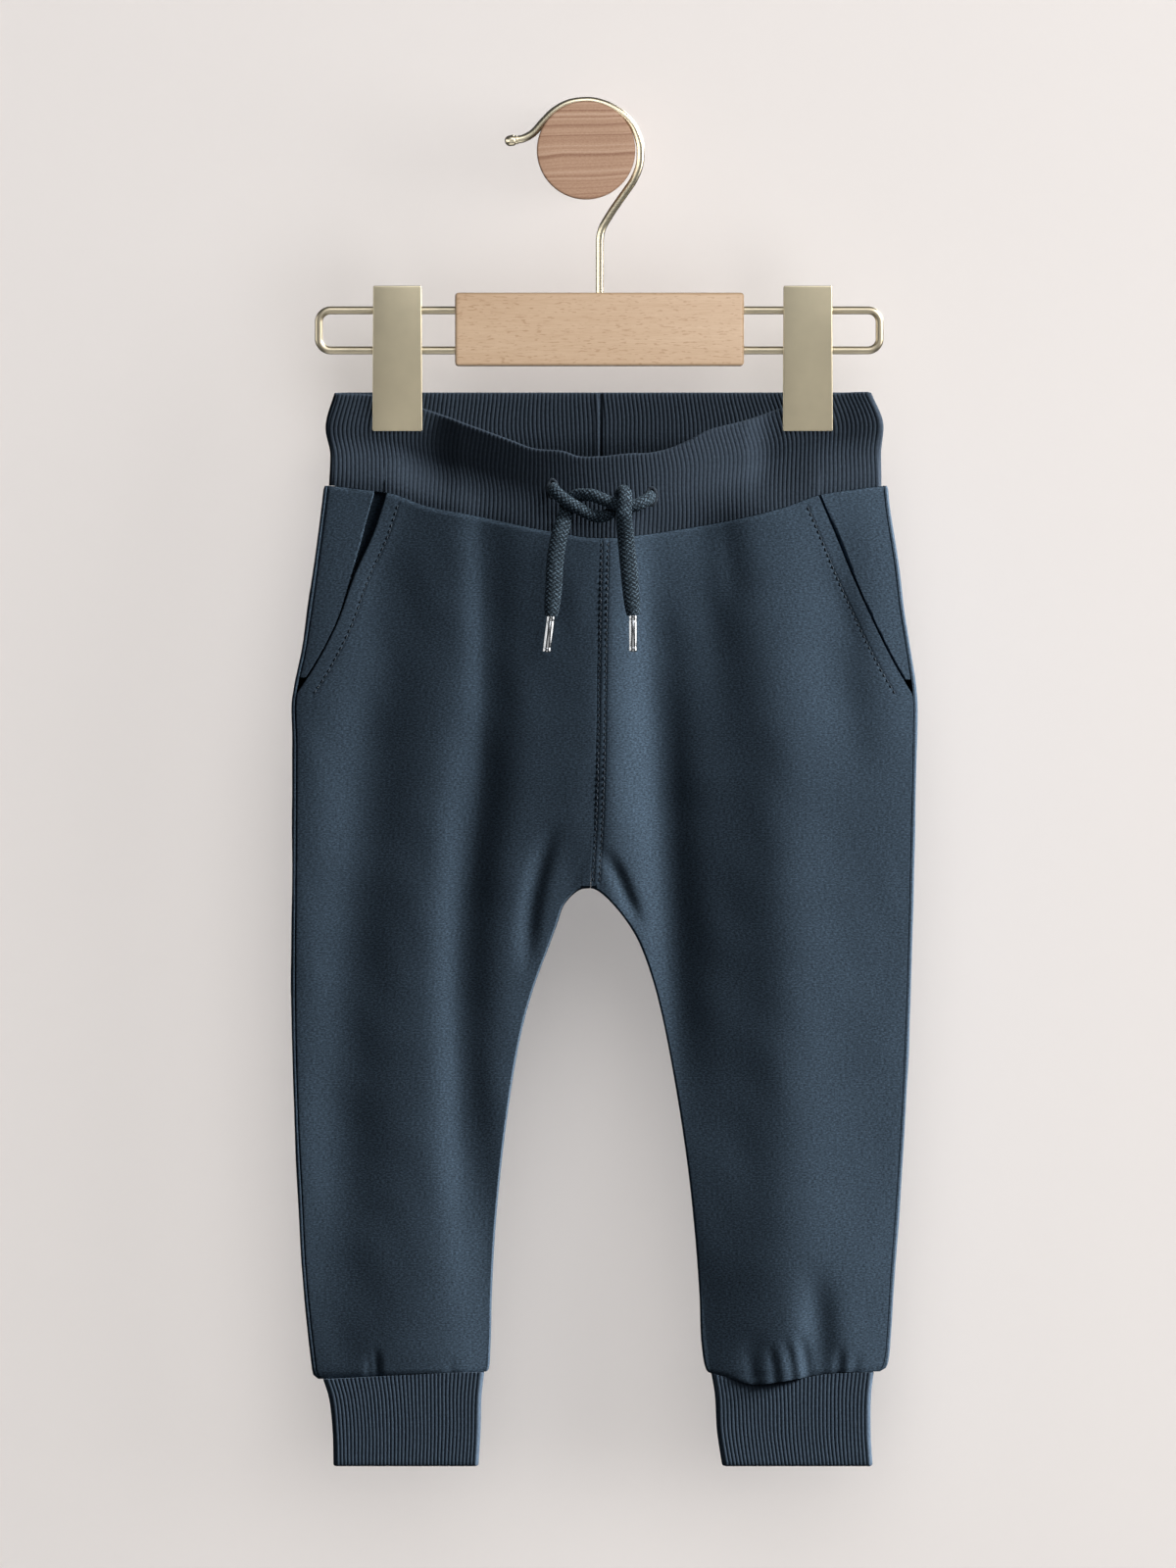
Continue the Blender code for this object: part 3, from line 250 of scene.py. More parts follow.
# Outline of the groove near each end of a tip, then of its open lower end: how far in from its
# radius, distance from that end
TIP_COLLAR = ((0, 0.3), (0, 1.6), (0.12, 1.9), (0.12, 2.3), (0, 2.6))
TIP_MOUTH = ((0, 0.2), (0.1, 0), (0.35, 0), (0.5, 0.3), (0.6, 3))
TIP_LEAN = {"right": 0.0, "left": -2.0}  # sideways run of each metal tip

# Hanger: round wires through a wooden block
WIRE_R = 1.8
SOCKET_R, SOCKET_RIM = 2.1, 0.9  # of the wires' holes, and how much wider their mouths are
WIRE_TOP_Z, WIRE_BOTTOM_Z = -73.4, -91.8
WIRE_ENDS_X = (-122.7, 134.8)  # centreline of each end loop
WIRE_CORNER_R = 5.4
SOCKET_DEPTH = 14.0
BLOCK_X = (-60.1, 72.5)
BLOCK_Z = (-99.0, -65.4)
BLOCK_THICK, BLOCK_BEVEL = 15.0, 1.6
HOOK_X = 6.3
# Centreline of the hook from the block to its free end: place, height
HOOK_LINE = (
    (6.3, -78), (6.3, -52), (6.3, -42), (7.2, -36.4), (11, -29.4), (16.9, -20.8), (22, -13.2),
    (24.7, -6), (25, 0.4), (23.5, 7.2), (20.6, 12.7), (15.6, 17.4), (8.4, 21.3), (0.9, 22.8),
    (-7.8, 21.7), (-14.6, 18.1), (-19.8, 13), (-24.4, 8), (-28.8, 5.5), (-32.8, 4.8),
)
HOOK_BALL_R = 2.5
# The ball at its free end: share of the ball's radius, distance past the wire's end
HOOK_BALL = (
    (0.8, -0.2), (1, 0.3), (1.02, 0.9), (1, 1.6), (0.98, 2.4), (0.88, 3.3), (0.66, 4), (0.34, 4.4),
)
PEG_R, PEG_LENGTH = 22.6, 51.0
PEG_NECK_R, PEG_NECK = 20.6, 47.3  # the hook lies on the thinner neck, behind the peg's head
PEG_ROUND = ((0, 1), (0.1, 0.62), (0.3, 0.3), (0.65, 0.08), (1.1, 0))  # its face's edge: in, back

# Clips: two plates that meet at the jaws, round a spring on the lower wire
CLIPS = {"right": -86.6, "left": 101.8}
CLIP_WIDTH, CLIP_THICK, CLIP_BEVEL = 23.0, 1.6, 0.62
CLIP_TAPER = 0.035  # how much narrower a plate is at its top, a share
CLIP_TOP_Z, CLIP_JAW_Z = -62.3, -128.9
CLIP_JAW_Y = BAND_PINCHED + RIB_HEIGHT + SEAM_GAP  # inner face from the mid-plane, at the jaw
CLIP_TOP_Y = 9.0  # and at the top
SPRING_LENGTH = 18.0
SPRING_R, SPRING_WIRE_R, SPRING_TURNS = 3.7, 0.9, 7

CAMERA_FAR = 12.0  # metres

# Steps over which slopes are read
SLOPE_STEP = 0.05
SHARE_STEP = 1e-4
NEAR = 8.0  # distances to lines are read up to here


# Curves through short tables


def through(knots, values, at):
    """A smooth curve through values at rising knots, read at any places."""
    k, v, t = (np.asarray(a, float) for a in (knots, values, at))
    secant = np.diff(v) / np.diff(k)
    slope = np.concatenate([secant[:1], (secant[:-1] + secant[1:]) / 2, secant[-1:]])
    # A turning point of the table stays one of the curve, so the curve doesn't overshoot.
    turns = np.concatenate([[False], secant[:-1] * secant[1:] <= 0, [False]])
    slope = np.where(turns, 0, slope)
    t = np.clip(t, k[0], k[-1])
    i = np.clip(np.searchsorted(k, t, side="right") - 1, 0, len(k) - 2)
    h = k[i + 1] - k[i]
    u = (t - k[i]) / h
    return (
        v[i] * (1 + 2 * u) * (1 - u) ** 2
        + v[i + 1] * u * u * (3 - 2 * u)
        + h * slope[i] * u * (1 - u) ** 2
        + h * slope[i + 1] * u * u * (u - 1)
    )


def column(table, at, key, value):
    """Reads one column of a table by another, whichever way the key column runs."""
    rows = sorted(table, key=lambda row: row[key])
    return through([row[key] for row in rows], [row[value] for row in rows], at)


def ease(u):
    u = np.clip(u, 0, 1)
    return u * u * (3 - 2 * u)


def lengths_along(line):
    """Distance along a line of points from its first to each."""
    return np.concatenate([[0], np.cumsum(np.linalg.norm(np.diff(line, axis=0), axis=1))])


def smooth_line(points, step):
    """A line through given points, smooth by chord length, with points about step apart."""
    p = np.asarray(points, float)
    chord = lengths_along(p[:, :3])
    count = max(2, round(chord[-1] / step)) + 1
    at = np.linspace(0, chord[-1], count)
    return np.stack([through(chord, p[:, k], at) for k in range(p.shape[1])], axis=1)


# The body's surface


def side_x(z, side):
    return column(SIDES, z, 0, COLUMN[side])


def centre_x(z):
    return column(CENTRE_SEAM, z, 0, 1)


def inseam_line(side, at):
    """Place and height at shares of the length of a leg's inner edge, from the crotch down."""
    p = np.array([(row[COLUMN[side]], row[0]) for row in INSEAMS])
    length = lengths_along(p)
    at = np.asarray(at, float) * length[-1]
    return through(length, p[:, 0], at), through(length, p[:, 1], at)


ARCH = {side: np.stack(inseam_line(side, np.linspace(0, 1, 120)), axis=1) for side in ("right", "left")}


def polyline_distance(x, z, line):
    """Distance to a line of points (place, height), read only where it is small."""
    best = np.full(np.shape(x), 1e9)
    low, high = line.min(axis=0) - NEAR, line.max(axis=0) + NEAR
    near = (x > low[0]) & (x < high[0]) & (z > low[1]) & (z < high[1])
    x, z = np.broadcast_arrays(x, z)
    px, pz = x[near], z[near]
    found = np.full(px.shape, 1e9)
    for a, b in zip(line[:-1], line[1:]):
        d = b - a
        t = np.clip(((px - a[0]) * d[0] + (pz - a[1]) * d[1]) / (d @ d), 0, 1)
        found = np.minimum(found, np.hypot(px - a[0] - t * d[0], pz - a[1] - t * d[1]))
    best[near] = found
    return best


def arch_distance(x, z):
    """Distance to the arch between the legs, negative inside it, and large far from it."""
    best = np.full(np.shape(x), 1e9)
    for line in ARCH.values():
        best = np.minimum(best, polyline_distance(x, z, line))
    right = np.interp(-z, -ARCH["right"][:, 1], ARCH["right"][:, 0])
    left = np.interp(-z, -ARCH["left"][:, 1], ARCH["left"][:, 0])
    inside = (z < CROTCH_Z) & (x > right) & (x < left)
    return np.where(inside, -best, best)


def rounding(distance, radius):
    """Square of a quarter circle's height at a distance in from its edge."""
    return 1 - (1 - np.minimum(distance / radius, 1)) ** 2


def turnover(x, z, radius):
    return (
        rounding(x - side_x(z, "right"), radius)
        * rounding(side_x(z, "left") - x, radius)
        * rounding(arch_distance(x, z), radius)
    )


def folds(table, x, z):
    total = np.zeros(np.shape(x))
    for _, top, middle, bottom, spread_right, spread_left, deep in table:
        line = through((bottom[0], middle[0], top[0]), (bottom[1], middle[1], top[1]), z)
        along = np.clip((z - bottom[0]) / (top[0] - bottom[0]), 0, 1)
        off = x - line
        spread = np.where(off < 0, spread_right, spread_left)
        fade = deep * ease(along / FOLD_FADE) * ease((1 - along) / FOLD_FADE)
        total = total - fade * np.exp(-((off / spread) ** 2) / 2)
    return total


def depth(x, z, front):
    """Depth of the body's outer surface from the mid-plane, before its edges turn over."""
    right, left = side_x(z, "right"), side_x(z, "left")
    on_right = x < centre_x(z)
    inner = np.where(on_right, column(CORES, z, 0, 1), column(CORES, z, 0, 2))
    outer = np.where(on_right, right, left)
    inward = np.clip((x - outer) / (inner - outer), 0, 1)
    across_leg = 4 * inward * (1 - inward)
    across_trunk = 1 - np.clip((x - (left + right) / 2) / ((left - right) / 2), -1, 1) ** 2
    leg = ease((LEGS_FROM - z) / (LEGS_FROM - LEGS_TO))
    first = 1 if front else 5
    edge, trunk, core, crown = (column(DEPTHS, z, 0, first + k) for k in range(4))
    form = edge + (1 - leg) * trunk * across_trunk + leg * ((core - edge) * inward + crown * across_leg)
    form = form + folds(FRONT_FOLDS + FINE_FRONT if front else BACK_FOLDS + FINE_BACK, x, z)
    form = form * (1 - HEM_TUCK * ease((HEM_Z + HEM_TUCK_HEIGHT - z) / HEM_TUCK_HEIGHT))
    return form + pocket_lift(x, z) if front else form


def pocket_x(z, side):
    return column(POCKETS, z, 0, COLUMN[side])


def pocket_lift(x, z):
    """How far the front panel's edge stands off at each pocket opening."""
    total = np.zeros(np.shape(x))
    for side, height, middle, spread in POCKET_LIFT:
        inward = (x - pocket_x(z, side)) * SIGN[side]
        near = np.exp(-(((z - middle) / spread) ** 2) / 2) * (z > POCKETS[-1][0])
        total = total + height * near * (1 - ease(inward / POCKET_LIFT_IN)) * (inward > -1.0)
    return total


def body_points(x, z, front, lift=True):
    """Outer points of the body, and the direction out of the cloth there."""

    def squared(x_at, z_at):
        deep = depth(x_at, z_at, front)
        if front and not lift:
            deep = deep - pocket_lift(x_at, z_at)
        return deep**2 * turnover(x_at, z_at, EDGE_R if front else BACK_R)

    step = SLOPE_STEP
    height = np.sqrt(np.maximum(squared(x, z), 0))
    y = -height if front else height
    slope_x = (squared(x + step, z) - squared(x - step, z)) / (2 * step)
    slope_z = (squared(x, z + step) - squared(x, z - step)) / (2 * step)
    out = np.stack([-slope_x, 2 * y, -slope_z], axis=-1)
    out /= np.linalg.norm(out, axis=-1, keepdims=True)
    return np.stack([x, MID_Y + y, z], axis=-1), out


def full_arc(width, radius=EDGE_R):
    """Length along the cloth from edge to edge of a width, with both edges rounded."""
    return 2 * (math.pi * radius / 2) + width - 2 * radius


def edge_place(arc, width, radius=EDGE_R):
    """How far in from the outer edge a point is, at an arc length round the edge from it."""
    quarter = math.pi * radius / 2
    back = full_arc(width, radius) - arc
    far = np.where(back < quarter, width - radius * (1 - np.cos(back / radius)), radius + arc - quarter)
    return np.where(arc < quarter, radius * (1 - np.cos(arc / radius)), far)


def edge_arc(place):
    """The arc length at which edge_place reaches a place near the outer edge."""
    return np.where(
        place < EDGE_R,
        EDGE_R * np.arccos(np.clip(1 - place / EDGE_R, -1, 1)),
        math.pi * EDGE_R / 2 + place - EDGE_R,
    )


def waist_z(x, front):
    return through(*zip(*WAIST_FRONT), x) if front else np.full(np.shape(x), WAIST_BACK_Z)


def hem_drop(x, front):
    return through(*zip(*HEM_FRONT), x) - HEM_Z if front else np.zeros(np.shape(x))


# Rings: the waistband and the cuffs


def ring(arc_share, width_right, width_left, radius):
    """Place, side and rounding round a flat ring: share 0 to 0.5 is its front, right to left."""
    width = width_left - width_right
    share = np.mod(arc_share, 1)
    front = share < 0.5
    arc = np.where(front, share * 2, (1 - share) * 2) * full_arc(width, radius)
    place = edge_place(arc, width, radius)
    turn = np.where(front, radius, BACK_R)
    height = np.sqrt(np.maximum(rounding(place, turn) * rounding(width - place, turn), 0))
    return width_right + place, front, height


def band_depth(x, share, front):
    """Depth of the waistband: pinched flat at the clips, bowed out between them on the front."""
    pinch = np.zeros(np.shape(x))
    for centre in CLIPS.values():
        pinch = np.maximum(pinch, 1 - ease((np.abs(x - centre) - BAND_HELD) / BAND_SPREAD))
    first, last = CLIPS["right"] + BAND_HELD, CLIPS["left"] - BAND_HELD
    between = np.clip((x - first) / (last - first), 0, 1)
    inside = (x > first) & (x < last)
    if front:
        open_top = np.where(inside, BAND_SAG_DEPTH * np.sin(math.pi * between) ** 1.2, 0)
        open_top = BAND_PINCHED + np.where(inside, open_top, BAND_END_DEPTH - BAND_PINCHED)
    else:
        bow = BAND_PINCHED + BAND_BACK_BOW * np.sin(math.pi * between)
        open_top = np.where(inside, bow, BAND_END_DEPTH)
    top = BAND_PINCHED + (open_top - BAND_PINCHED) * (1 - pinch)
    bottom = depth(x, waist_z(x, front), front) - BAND_TUCK
    return bottom + (top - bottom) * ease(share / BAND_FREE)


def band_surface(arc_share, share):
    right, left = column(BAND_EDGES, share, 0, 1), column(BAND_EDGES, share, 0, 2)
    x, front, height = ring(arc_share, right, left, BAND_EDGE_R)
    deep = np.where(front, band_depth(x, share, True), band_depth(x, share, False))
    low = np.where(front, waist_z(x, True), WAIST_BACK_Z) + SEAM_GAP / 2
    high = np.where(front, through(*zip(*BAND_TOP_FRONT), x), BAND_TOP_BACK_Z)
    y = MID_Y + np.where(front, -1, 1) * deep * height
    return np.stack([x, y, low + (high - low) * share], axis=-1)


def cuff_surface(side):
    first = 1 if side == "right" else 3

    def surface(arc_share, share):
        z = CUFF_EDGES[-1][0] + (CUFF_EDGES[0][0] - CUFF_EDGES[-1][0]) * share
        x, front, height = ring(arc_share, column(CUFF_EDGES, z, 0, first),
                                column(CUFF_EDGES, z, 0, first + 1), CUFF_EDGE_R)
        deep = np.where(front, column(CUFF_DEPTHS, z, 0, 1), column(CUFF_DEPTHS, z, 0, 2))
        hem = hem_drop(x, True)
        z = z + np.where(front, hem, hem + (BACK_ASIDE - hem) * np.minimum(height * 3, 1)) * share**3
        return np.stack([x, MID_Y + np.where(front, -1, 1) * deep * height, z], axis=-1)

    return surface


def directions(surface, arc_share, share):
    """The direction out of a ring's wall, by small steps along and up it."""
    step = SHARE_STEP
    along = surface(arc_share + step, share) - surface(arc_share - step, share)
    up = surface(arc_share, np.minimum(share + step, 1)) - surface(arc_share, np.maximum(share - step, 0))
    out = np.cross(along, up)
    return out / np.linalg.norm(out, axis=-1, keepdims=True)


# Finer form than the frame's

# Soft unevenness of hanging jersey: wavelength, its direction in degrees from the vertical, height
WAVES = ((83, 84, 0.10), (57, 12, 0.07), (39, 99, 0.04), (27, 64, 0.03))
FOLD_FADE = 0.38  # share of a fold's length over which it fades out at each end
SEWN_GAP = 0.12  # between the finer panels at a seam
UNEVEN_IN = 12.0  # the unevenness grows from a panel's seams over this width
DENSE = 0.78  # how much closer a panel's columns lie at its edges
BACK_ASIDE = 3.0  # the back's centre seam and hem lie beside the front's, so no light comes through
HEM_MEET = 7.0  # at a leg's edges the two hems meet over this width
ROLL = 0.8  # width over which a panel's edge turns down
# How deep a panel turns down at its outer, inner, waist and hem edge: the seams are pressed to
# one side, so one of two panels rolls into the seam and the other meets it flat
ROLLS = {"right": (0.2, 0.05, 0.4, 0.3), "left": (0.0, 0.12, 0.4, 0.3)}
# How far in from a pocket's edge the panel behind dips under it: height, right, left
MOUTHS = ((-250.0, 0.7, 0.8), (-198.0, 0.9, 0.8), (-172.0, 5.0, 1.0), (-156.0, 5.6, 1.0))
MOUTH_STEP = 1.0  # width over which it dips
STITCH_TROUGH, STITCH_SPREAD = 0.14, 0.45  # depth and width of the trough under a row of stitches
POCKET_STITCH_IN = 6.6  # the pocket's stitching lies this far in from its edge
TWIN = (1.0, 3.9)  # the two rows of stitches beside the centre seam
STITCH, STITCH_R = 2.9, 0.24  # stitch pitch, radius of the thread
# One stitch along its line: share of the pitch, height, radius as a share of the thread's
STITCH_FORM = (
    (0.06, -0.5, 0.6), (0.16, -0.16, 1.0), (0.45, 0.02, 1.1), (0.74, -0.16, 1.0), (0.84, -0.5, 0.6),
)
STITCH_SINK = STITCH_TROUGH * 0.4  # how far it sinks into its trough
STITCH_SIDES = 6
RIB_STEPS = 6  # columns to one rib
RIB_PROFILE = (0.0, 0.78, 1.0, 1.0, 1.0, 0.78)  # height across one rib, a share of RIB_HEIGHT
RIB_PITCH = 1.93  # of the knit's coordinates
CLOTH_WALL, BAND_WALL, CUFF_WALL = CLOTH * 0.8, 2.0, 2.2  # thickness of the shells built here
RIB_LOW, RIB_HIGH = 0.035, 0.975  # where the cuffs' and the band's folded ends begin
BRAID_PITCH = 2.1  # length along the cord of one strand crossing
BRAID_STRANDS = 7  # in each direction round the cord
BRAID_ACROSS = 2.6  # width of one strand crossing on the cord's coordinates
BRAID_RELIEF = 0.3
CORD_SIDES = 72  # points round the cord
# The frame's cord width, thickness as a share of the width, and the braid's own width
CORD_FLATNESS = ((4.4, 0.74, 5.9), (5.4, 0.66, 7.2), (6.4, 0.58, 7.9))
BUTTONHOLES = {"right": (-15.4, -155.4), "left": (30.0, -159.0)}
BUTTONHOLE_R = (1.9, 3.6)  # half width and half height
BUTTONHOLE_SINK, BUTTONHOLE_RIDGES = 1.7, 64
BUTTONHOLE_EDGE = 0.35  # its stitching's centre lies this far outside it
BUTTONHOLE_STITCH, BUTTONHOLE_RIDGE = 0.55, 0.1  # half thickness of that stitching and its ridges


def rows_from(count, dense):
    """Shares from 0 to 1 that lie closer together at both ends."""
    t = np.linspace(0, 1, count)
    return t - dense * np.sin(2 * math.pi * t) / (2 * math.pi)


def pocket_stitch(side):
    """The pocket's line of stitches: its edge moved in, as points (place, height)."""
    z = np.linspace(POCKETS[0][0] - 4.5, POCKETS[-1][0] + 3.0, 60)
    x = pocket_x(z, side)
    step = 0.5
    slope = (pocket_x(z + step, side) - pocket_x(z - step, side)) / (2 * step)
    moved = SIGN[side] * POCKET_STITCH_IN / np.hypot(1, slope)
    return np.stack([x + moved, z - moved * slope], axis=1)


def stitch_lines(side, front):
    """Lines of stitches on a panel, as points (place, height)."""
    lines = [pocket_stitch(side)] if front else []
    if side == "left":
        z = np.linspace(waist_z(np.array(8.0), front) - 1.2, CROTCH_Z + 2.0, 60)
        lines += [np.stack([centre_x(z) + away, z], axis=1) for away in TWIN]
    return lines


def unevenness(x, z):
    total = 0
    for k, (length, turn, height) in enumerate(WAVES):
        a = math.radians(turn)
        along = x * math.cos(a) + z * math.sin(a)
        across = -x * math.sin(a) + z * math.cos(a)
        bend = 0.35 * np.sin(2 * math.pi * across / (length * 2.3) + 1.7 * k)
        total = total + height * np.sin(2 * math.pi * (along / length + bend) + 2.1 * k)
    return total


def run_across(points):
    """Distance along each row of a grid of points from its first."""
    across = np.linalg.norm(np.diff(points, axis=1), axis=2)
    return np.concatenate([np.zeros((len(points), 1)), np.cumsum(across, axis=1)], axis=1)


def edge_runs(points):
    """Distances along the cloth to a grid's first and last column and its first and last row."""
    u, v = run_across(points), run_across(points.swapaxes(0, 1)).T
    return u, u[:, -1:] - u, v, v[-1:] - v


def rolled(runs, depths):
    """How far a grid's points sink where it turns down at its four edges."""
    total = 0
    for run, deep in zip(runs, depths):
        total = total + deep * (1 - np.sqrt(1 - np.clip(1 - run / ROLL, 0, 1) ** 2))
    return total


def panel(side, front, rows, cols):
    """Outer points, directions and cloth coordinates of one of the four panels."""
    sign = SIGN[side]
    shares = rows_from(cols, DENSE)
    blend = ease(shares)
    seam_arc = float(edge_arc(SEAM_IN))
    half = SEWN_GAP / 2
    aside = 0 if front else BACK_ASIDE
    trunk = np.linspace(0, 1, rows * 45 // 100)
    legs = np.linspace(0, 1, rows - len(trunk) + 1)[1:]
    top_in = waist_z(centre_x(POCKETS[1][0]), front) - half
    top_out = waist_z(pocket_x(POCKETS[0][0], side) if front else side_x(SIDES[0][0], side), front) - half
    lines = []
    for v in trunk:
        z_out, z_in = top_out + (CROTCH_SIDE_Z - top_out) * v, top_in + (CROTCH_Z + half - top_in) * v
        lines.append((z_out, z_in, None, v))
    for r in legs:
        x_in, z_in = inseam_line(side, r)
        lines.append((CROTCH_SIDE_Z + (HEM_Z - CROTCH_SIDE_Z) * r, z_in, x_in, 1))
    xs, zs, over, outline, dip = [], [], [], [], None
    for z_out, z_in, x_in, v in lines:
        x_out = side_x(z_out, side)
        inner = centre_x(z_in) + aside * (1 - v) if x_in is None else x_in
        width = abs(inner - x_out)
        if front:
            opening = (pocket_x(z_out, side) - x_out) * sign if z_out > POCKETS[-1][0] else 0
            start = max(float(edge_arc(opening)) if opening > 0 else 0, seam_arc + half)
        else:
            start = -(seam_arc - half)
        gap = float(edge_arc(half)) if x_in is None else half * INSEAM_GAP_SHARE
        arc = start + (full_arc(width) - gap - start) * shares
        x = x_out + sign * edge_place(arc, width)
        z = z_out + (z_in - z_out) * blend
        if dip is None:
            dip = waist_z(x, front) - half - z
        xs.append(x)
        zs.append(z + (1 - v) ** 2 * dip)
        over.append(arc < 0)
        outline.append(x_out)
    x, z, over = np.array(xs), np.array(zs), np.array(over)
    away = np.minimum(np.abs(x - np.array(outline)[:, None]) - SEAM_IN, np.abs(x - x[:, -1:]))
    away = 1 if front else ease(away / HEM_MEET)
    drop = hem_drop(x, True) + (0 if front else (aside - hem_drop(x, True)) * away)
    near = ease((HEM_Z + HEM_EASE - z) / HEM_EASE)
    z = z + drop * near
    # The rows that moved keep their inner ends on the leg's edge.
    edge = np.interp(-z[:, -1], -ARCH[side][:, 1], ARCH[side][:, 0])
    shift = np.where(near[:, -1] > 0, edge - x[:, -1], 0)
    x = x + shift[:, None] * ease((shares - 0.5) * 2)
    p, n = body_points(x, z, front)
    if not front:
        p_front, n_front = body_points(x, z, True, lift=False)
        p, n = np.where(over[..., None], p_front, p), np.where(over[..., None], n_front, n)
    outer, inner, waist, hem = ROLLS[side]
    runs = edge_runs(p)
    sunk = rolled(runs, (outer, inner * (z > CROTCH_Z), waist, hem))
    p = p + n * (relief(x, z, np.minimum.reduce(runs), stitch_lines(side, front)) - sunk)[..., None]
    return p, n


def relief(x, z, seam, lines):
    """What is added to a panel's surface: unevenness away from its seams, and stitched troughs."""
    total = unevenness(x, z) * ease(seam / UNEVEN_IN)
    for line in lines:
        off = polyline_distance(x, z, line)
        total = total - STITCH_TROUGH * np.exp(-((off / STITCH_SPREAD) ** 2) / 2)
    return total


# Meshes


def add(name, points, faces, finish, stands_for=(), smooth=45, uv=None):
    """A mesh object from points in millimetres that rides on the frame's one body."""
    mesh = bpy.data.meshes.new(name)
    points = np.asarray(points, float) * MM
    mesh.from_pydata(points.tolist(), [], faces)
    shape = bmesh.new()
    shape.from_mesh(mesh)
    bmesh.ops.recalc_face_normals(shape, faces=shape.faces)
    if shape.calc_volume(signed=True) < 0:
        bmesh.ops.reverse_faces(shape, faces=shape.faces)
    shape.to_mesh(mesh)
    shape.free()
    mesh.shade_smooth()
    mesh.set_sharp_from_angle(angle=math.radians(smooth))
    mesh.materials.append(finish)
    if uv is not None:
        layer = mesh.uv_layers.new(name="cloth")
        at = np.zeros(len(mesh.loops), np.int32)
        mesh.loops.foreach_get("vertex_index", at)
        layer.data.foreach_set("uv", (np.asarray(uv, float)[at] * MM).astype(np.float32).ravel())
    obj = bpy.data.objects.new(name, mesh)
    bpy.context.scene.collection.objects.link(obj)
    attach(obj, "root")
    if stands_for:
        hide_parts(*stands_for)
    return obj


def quads(*corners):
    """Faces from four grids of point numbers."""
    return np.stack(corners, axis=-1).reshape(-1, 4).tolist()


def wall(outer, out, thick, uv):
    """Points and faces of a closed wall: a grid of outer points, and every second one moved in."""
    rows, cols, _ = outer.shape
    inner = (outer - out * thick)[::2, ::2]
    inner[0, :, 2] = np.minimum(inner[0, :, 2], outer[0, ::2, 2])
    inner[-1, :, 2] = np.maximum(inner[-1, :, 2], outer[-1, ::2, 2])
    points = np.concatenate([outer.reshape(-1, 3), inner.reshape(-1, 3)])
    coordinates = np.concatenate([uv.reshape(-1, 2), uv[::2, ::2].reshape(-1, 2)])
    fine = np.arange(rows * cols).reshape(rows, cols)
    coarse = rows * cols + np.arange(inner.shape[0] * inner.shape[1]).reshape(inner.shape[:2])
    faces = quads(fine[:-1, :-1], fine[1:, :-1], fine[1:, 1:], fine[:-1, 1:])
    faces += quads(coarse[:-1, 1:], coarse[1:, 1:], coarse[1:, :-1], coarse[:-1, :-1])
    for edge, plain, turn in ((fine[0], coarse[0], 1), (fine[-1], coarse[-1], -1),
                              (fine[:, 0], coarse[:, 0], -1), (fine[:, -1], coarse[:, -1], 1)):
        for j in range(len(plain) - 1):
            face = [edge[2 * j], edge[2 * j + 1], edge[2 * j + 2], plain[j + 1], plain[j]]
            faces.append([int(i) for i in face[::turn]])
    return points, faces, coordinates


def cloth_coordinates(points):
    """Places on the cloth for its weave: along each row from its middle, and the height."""
    u = run_across(points)
    return np.stack([u - u[:, -1:] / 2, points[..., 2]], axis=-1)


def ribbed_tube(name, surface, ribs, shares, inner_shares, finish, node, thick, cap_high=False,
                carve=None):
    """A ring of doubled rib: ribs outside and inside, and a rounded fold at its low or high end."""
    count = 2 * ribs * RIB_STEPS
    at = (np.arange(count) + 0.5) / count
    raised = RIB_HEIGHT * np.array(RIB_PROFILE)[np.arange(count) % RIB_STEPS]
    end = shares[-1] if cap_high else shares[0]
    rows = []

    def row(share, inward, up, ribs_out):
        high = np.full(count, float(share))
        sway = at + 0.0004 * np.sin(9 * share + 40 * at)
        p, n = surface(sway, high), directions(surface, sway, high)
        p = p + n * (ribs_out * raised - inward)[:, None]
        p[:, 2] += up
        return p, n

    def carved(p, n, inside=False):
        return p if carve is None else carve(p, n, inside)

    order = list(shares) if cap_high else list(shares)[::-1]
    for share in order:
        rows.append(carved(*row(share, 0.0, 0.0, 1)))
    toward = 1 if cap_high else -1
    for angle in np.radians((30, 60, 90, 120, 150)):
        sink = thick / 2 * (1 - math.cos(angle))
        rows.append(row(end, sink, toward * thick / 2 * math.sin(angle), math.cos(angle))[0])
    for share in (list(inner_shares)[::-1] if cap_high else list(inner_shares)):
        rows.append(carved(*row(share, thick, 0.0, -1), True))
    points = np.concatenate(rows)
    grid = np.arange(len(points)).reshape(len(rows), count)
    after = np.roll(grid, -1, axis=1)
    faces = quads(grid[:-1], after[:-1], after[1:], grid[1:]) + quads(grid[-1], after[-1], after[0], grid[0])
    length = np.tile(np.arange(count) * RIB_PITCH / RIB_STEPS, len(rows))
    uv = np.stack([length, points[:, 2]], axis=1)
    add(name, points, faces, finish, [node], 80, uv)


def frames_along(line, start_normal):
    """A normal carried along a line without twisting, from its last point back to its first."""
    tangent = np.gradient(line, axis=0)
    tangent /= np.linalg.norm(tangent, axis=1, keepdims=True)
    normals = np.zeros_like(line)
    n = np.array(start_normal, float)
    for i in range(len(line) - 1, -1, -1):
        n = n - tangent[i] * (n @ tangent[i])
        n /= np.linalg.norm(n)
        normals[i] = n
    return tangent, normals, np.cross(tangent, normals)


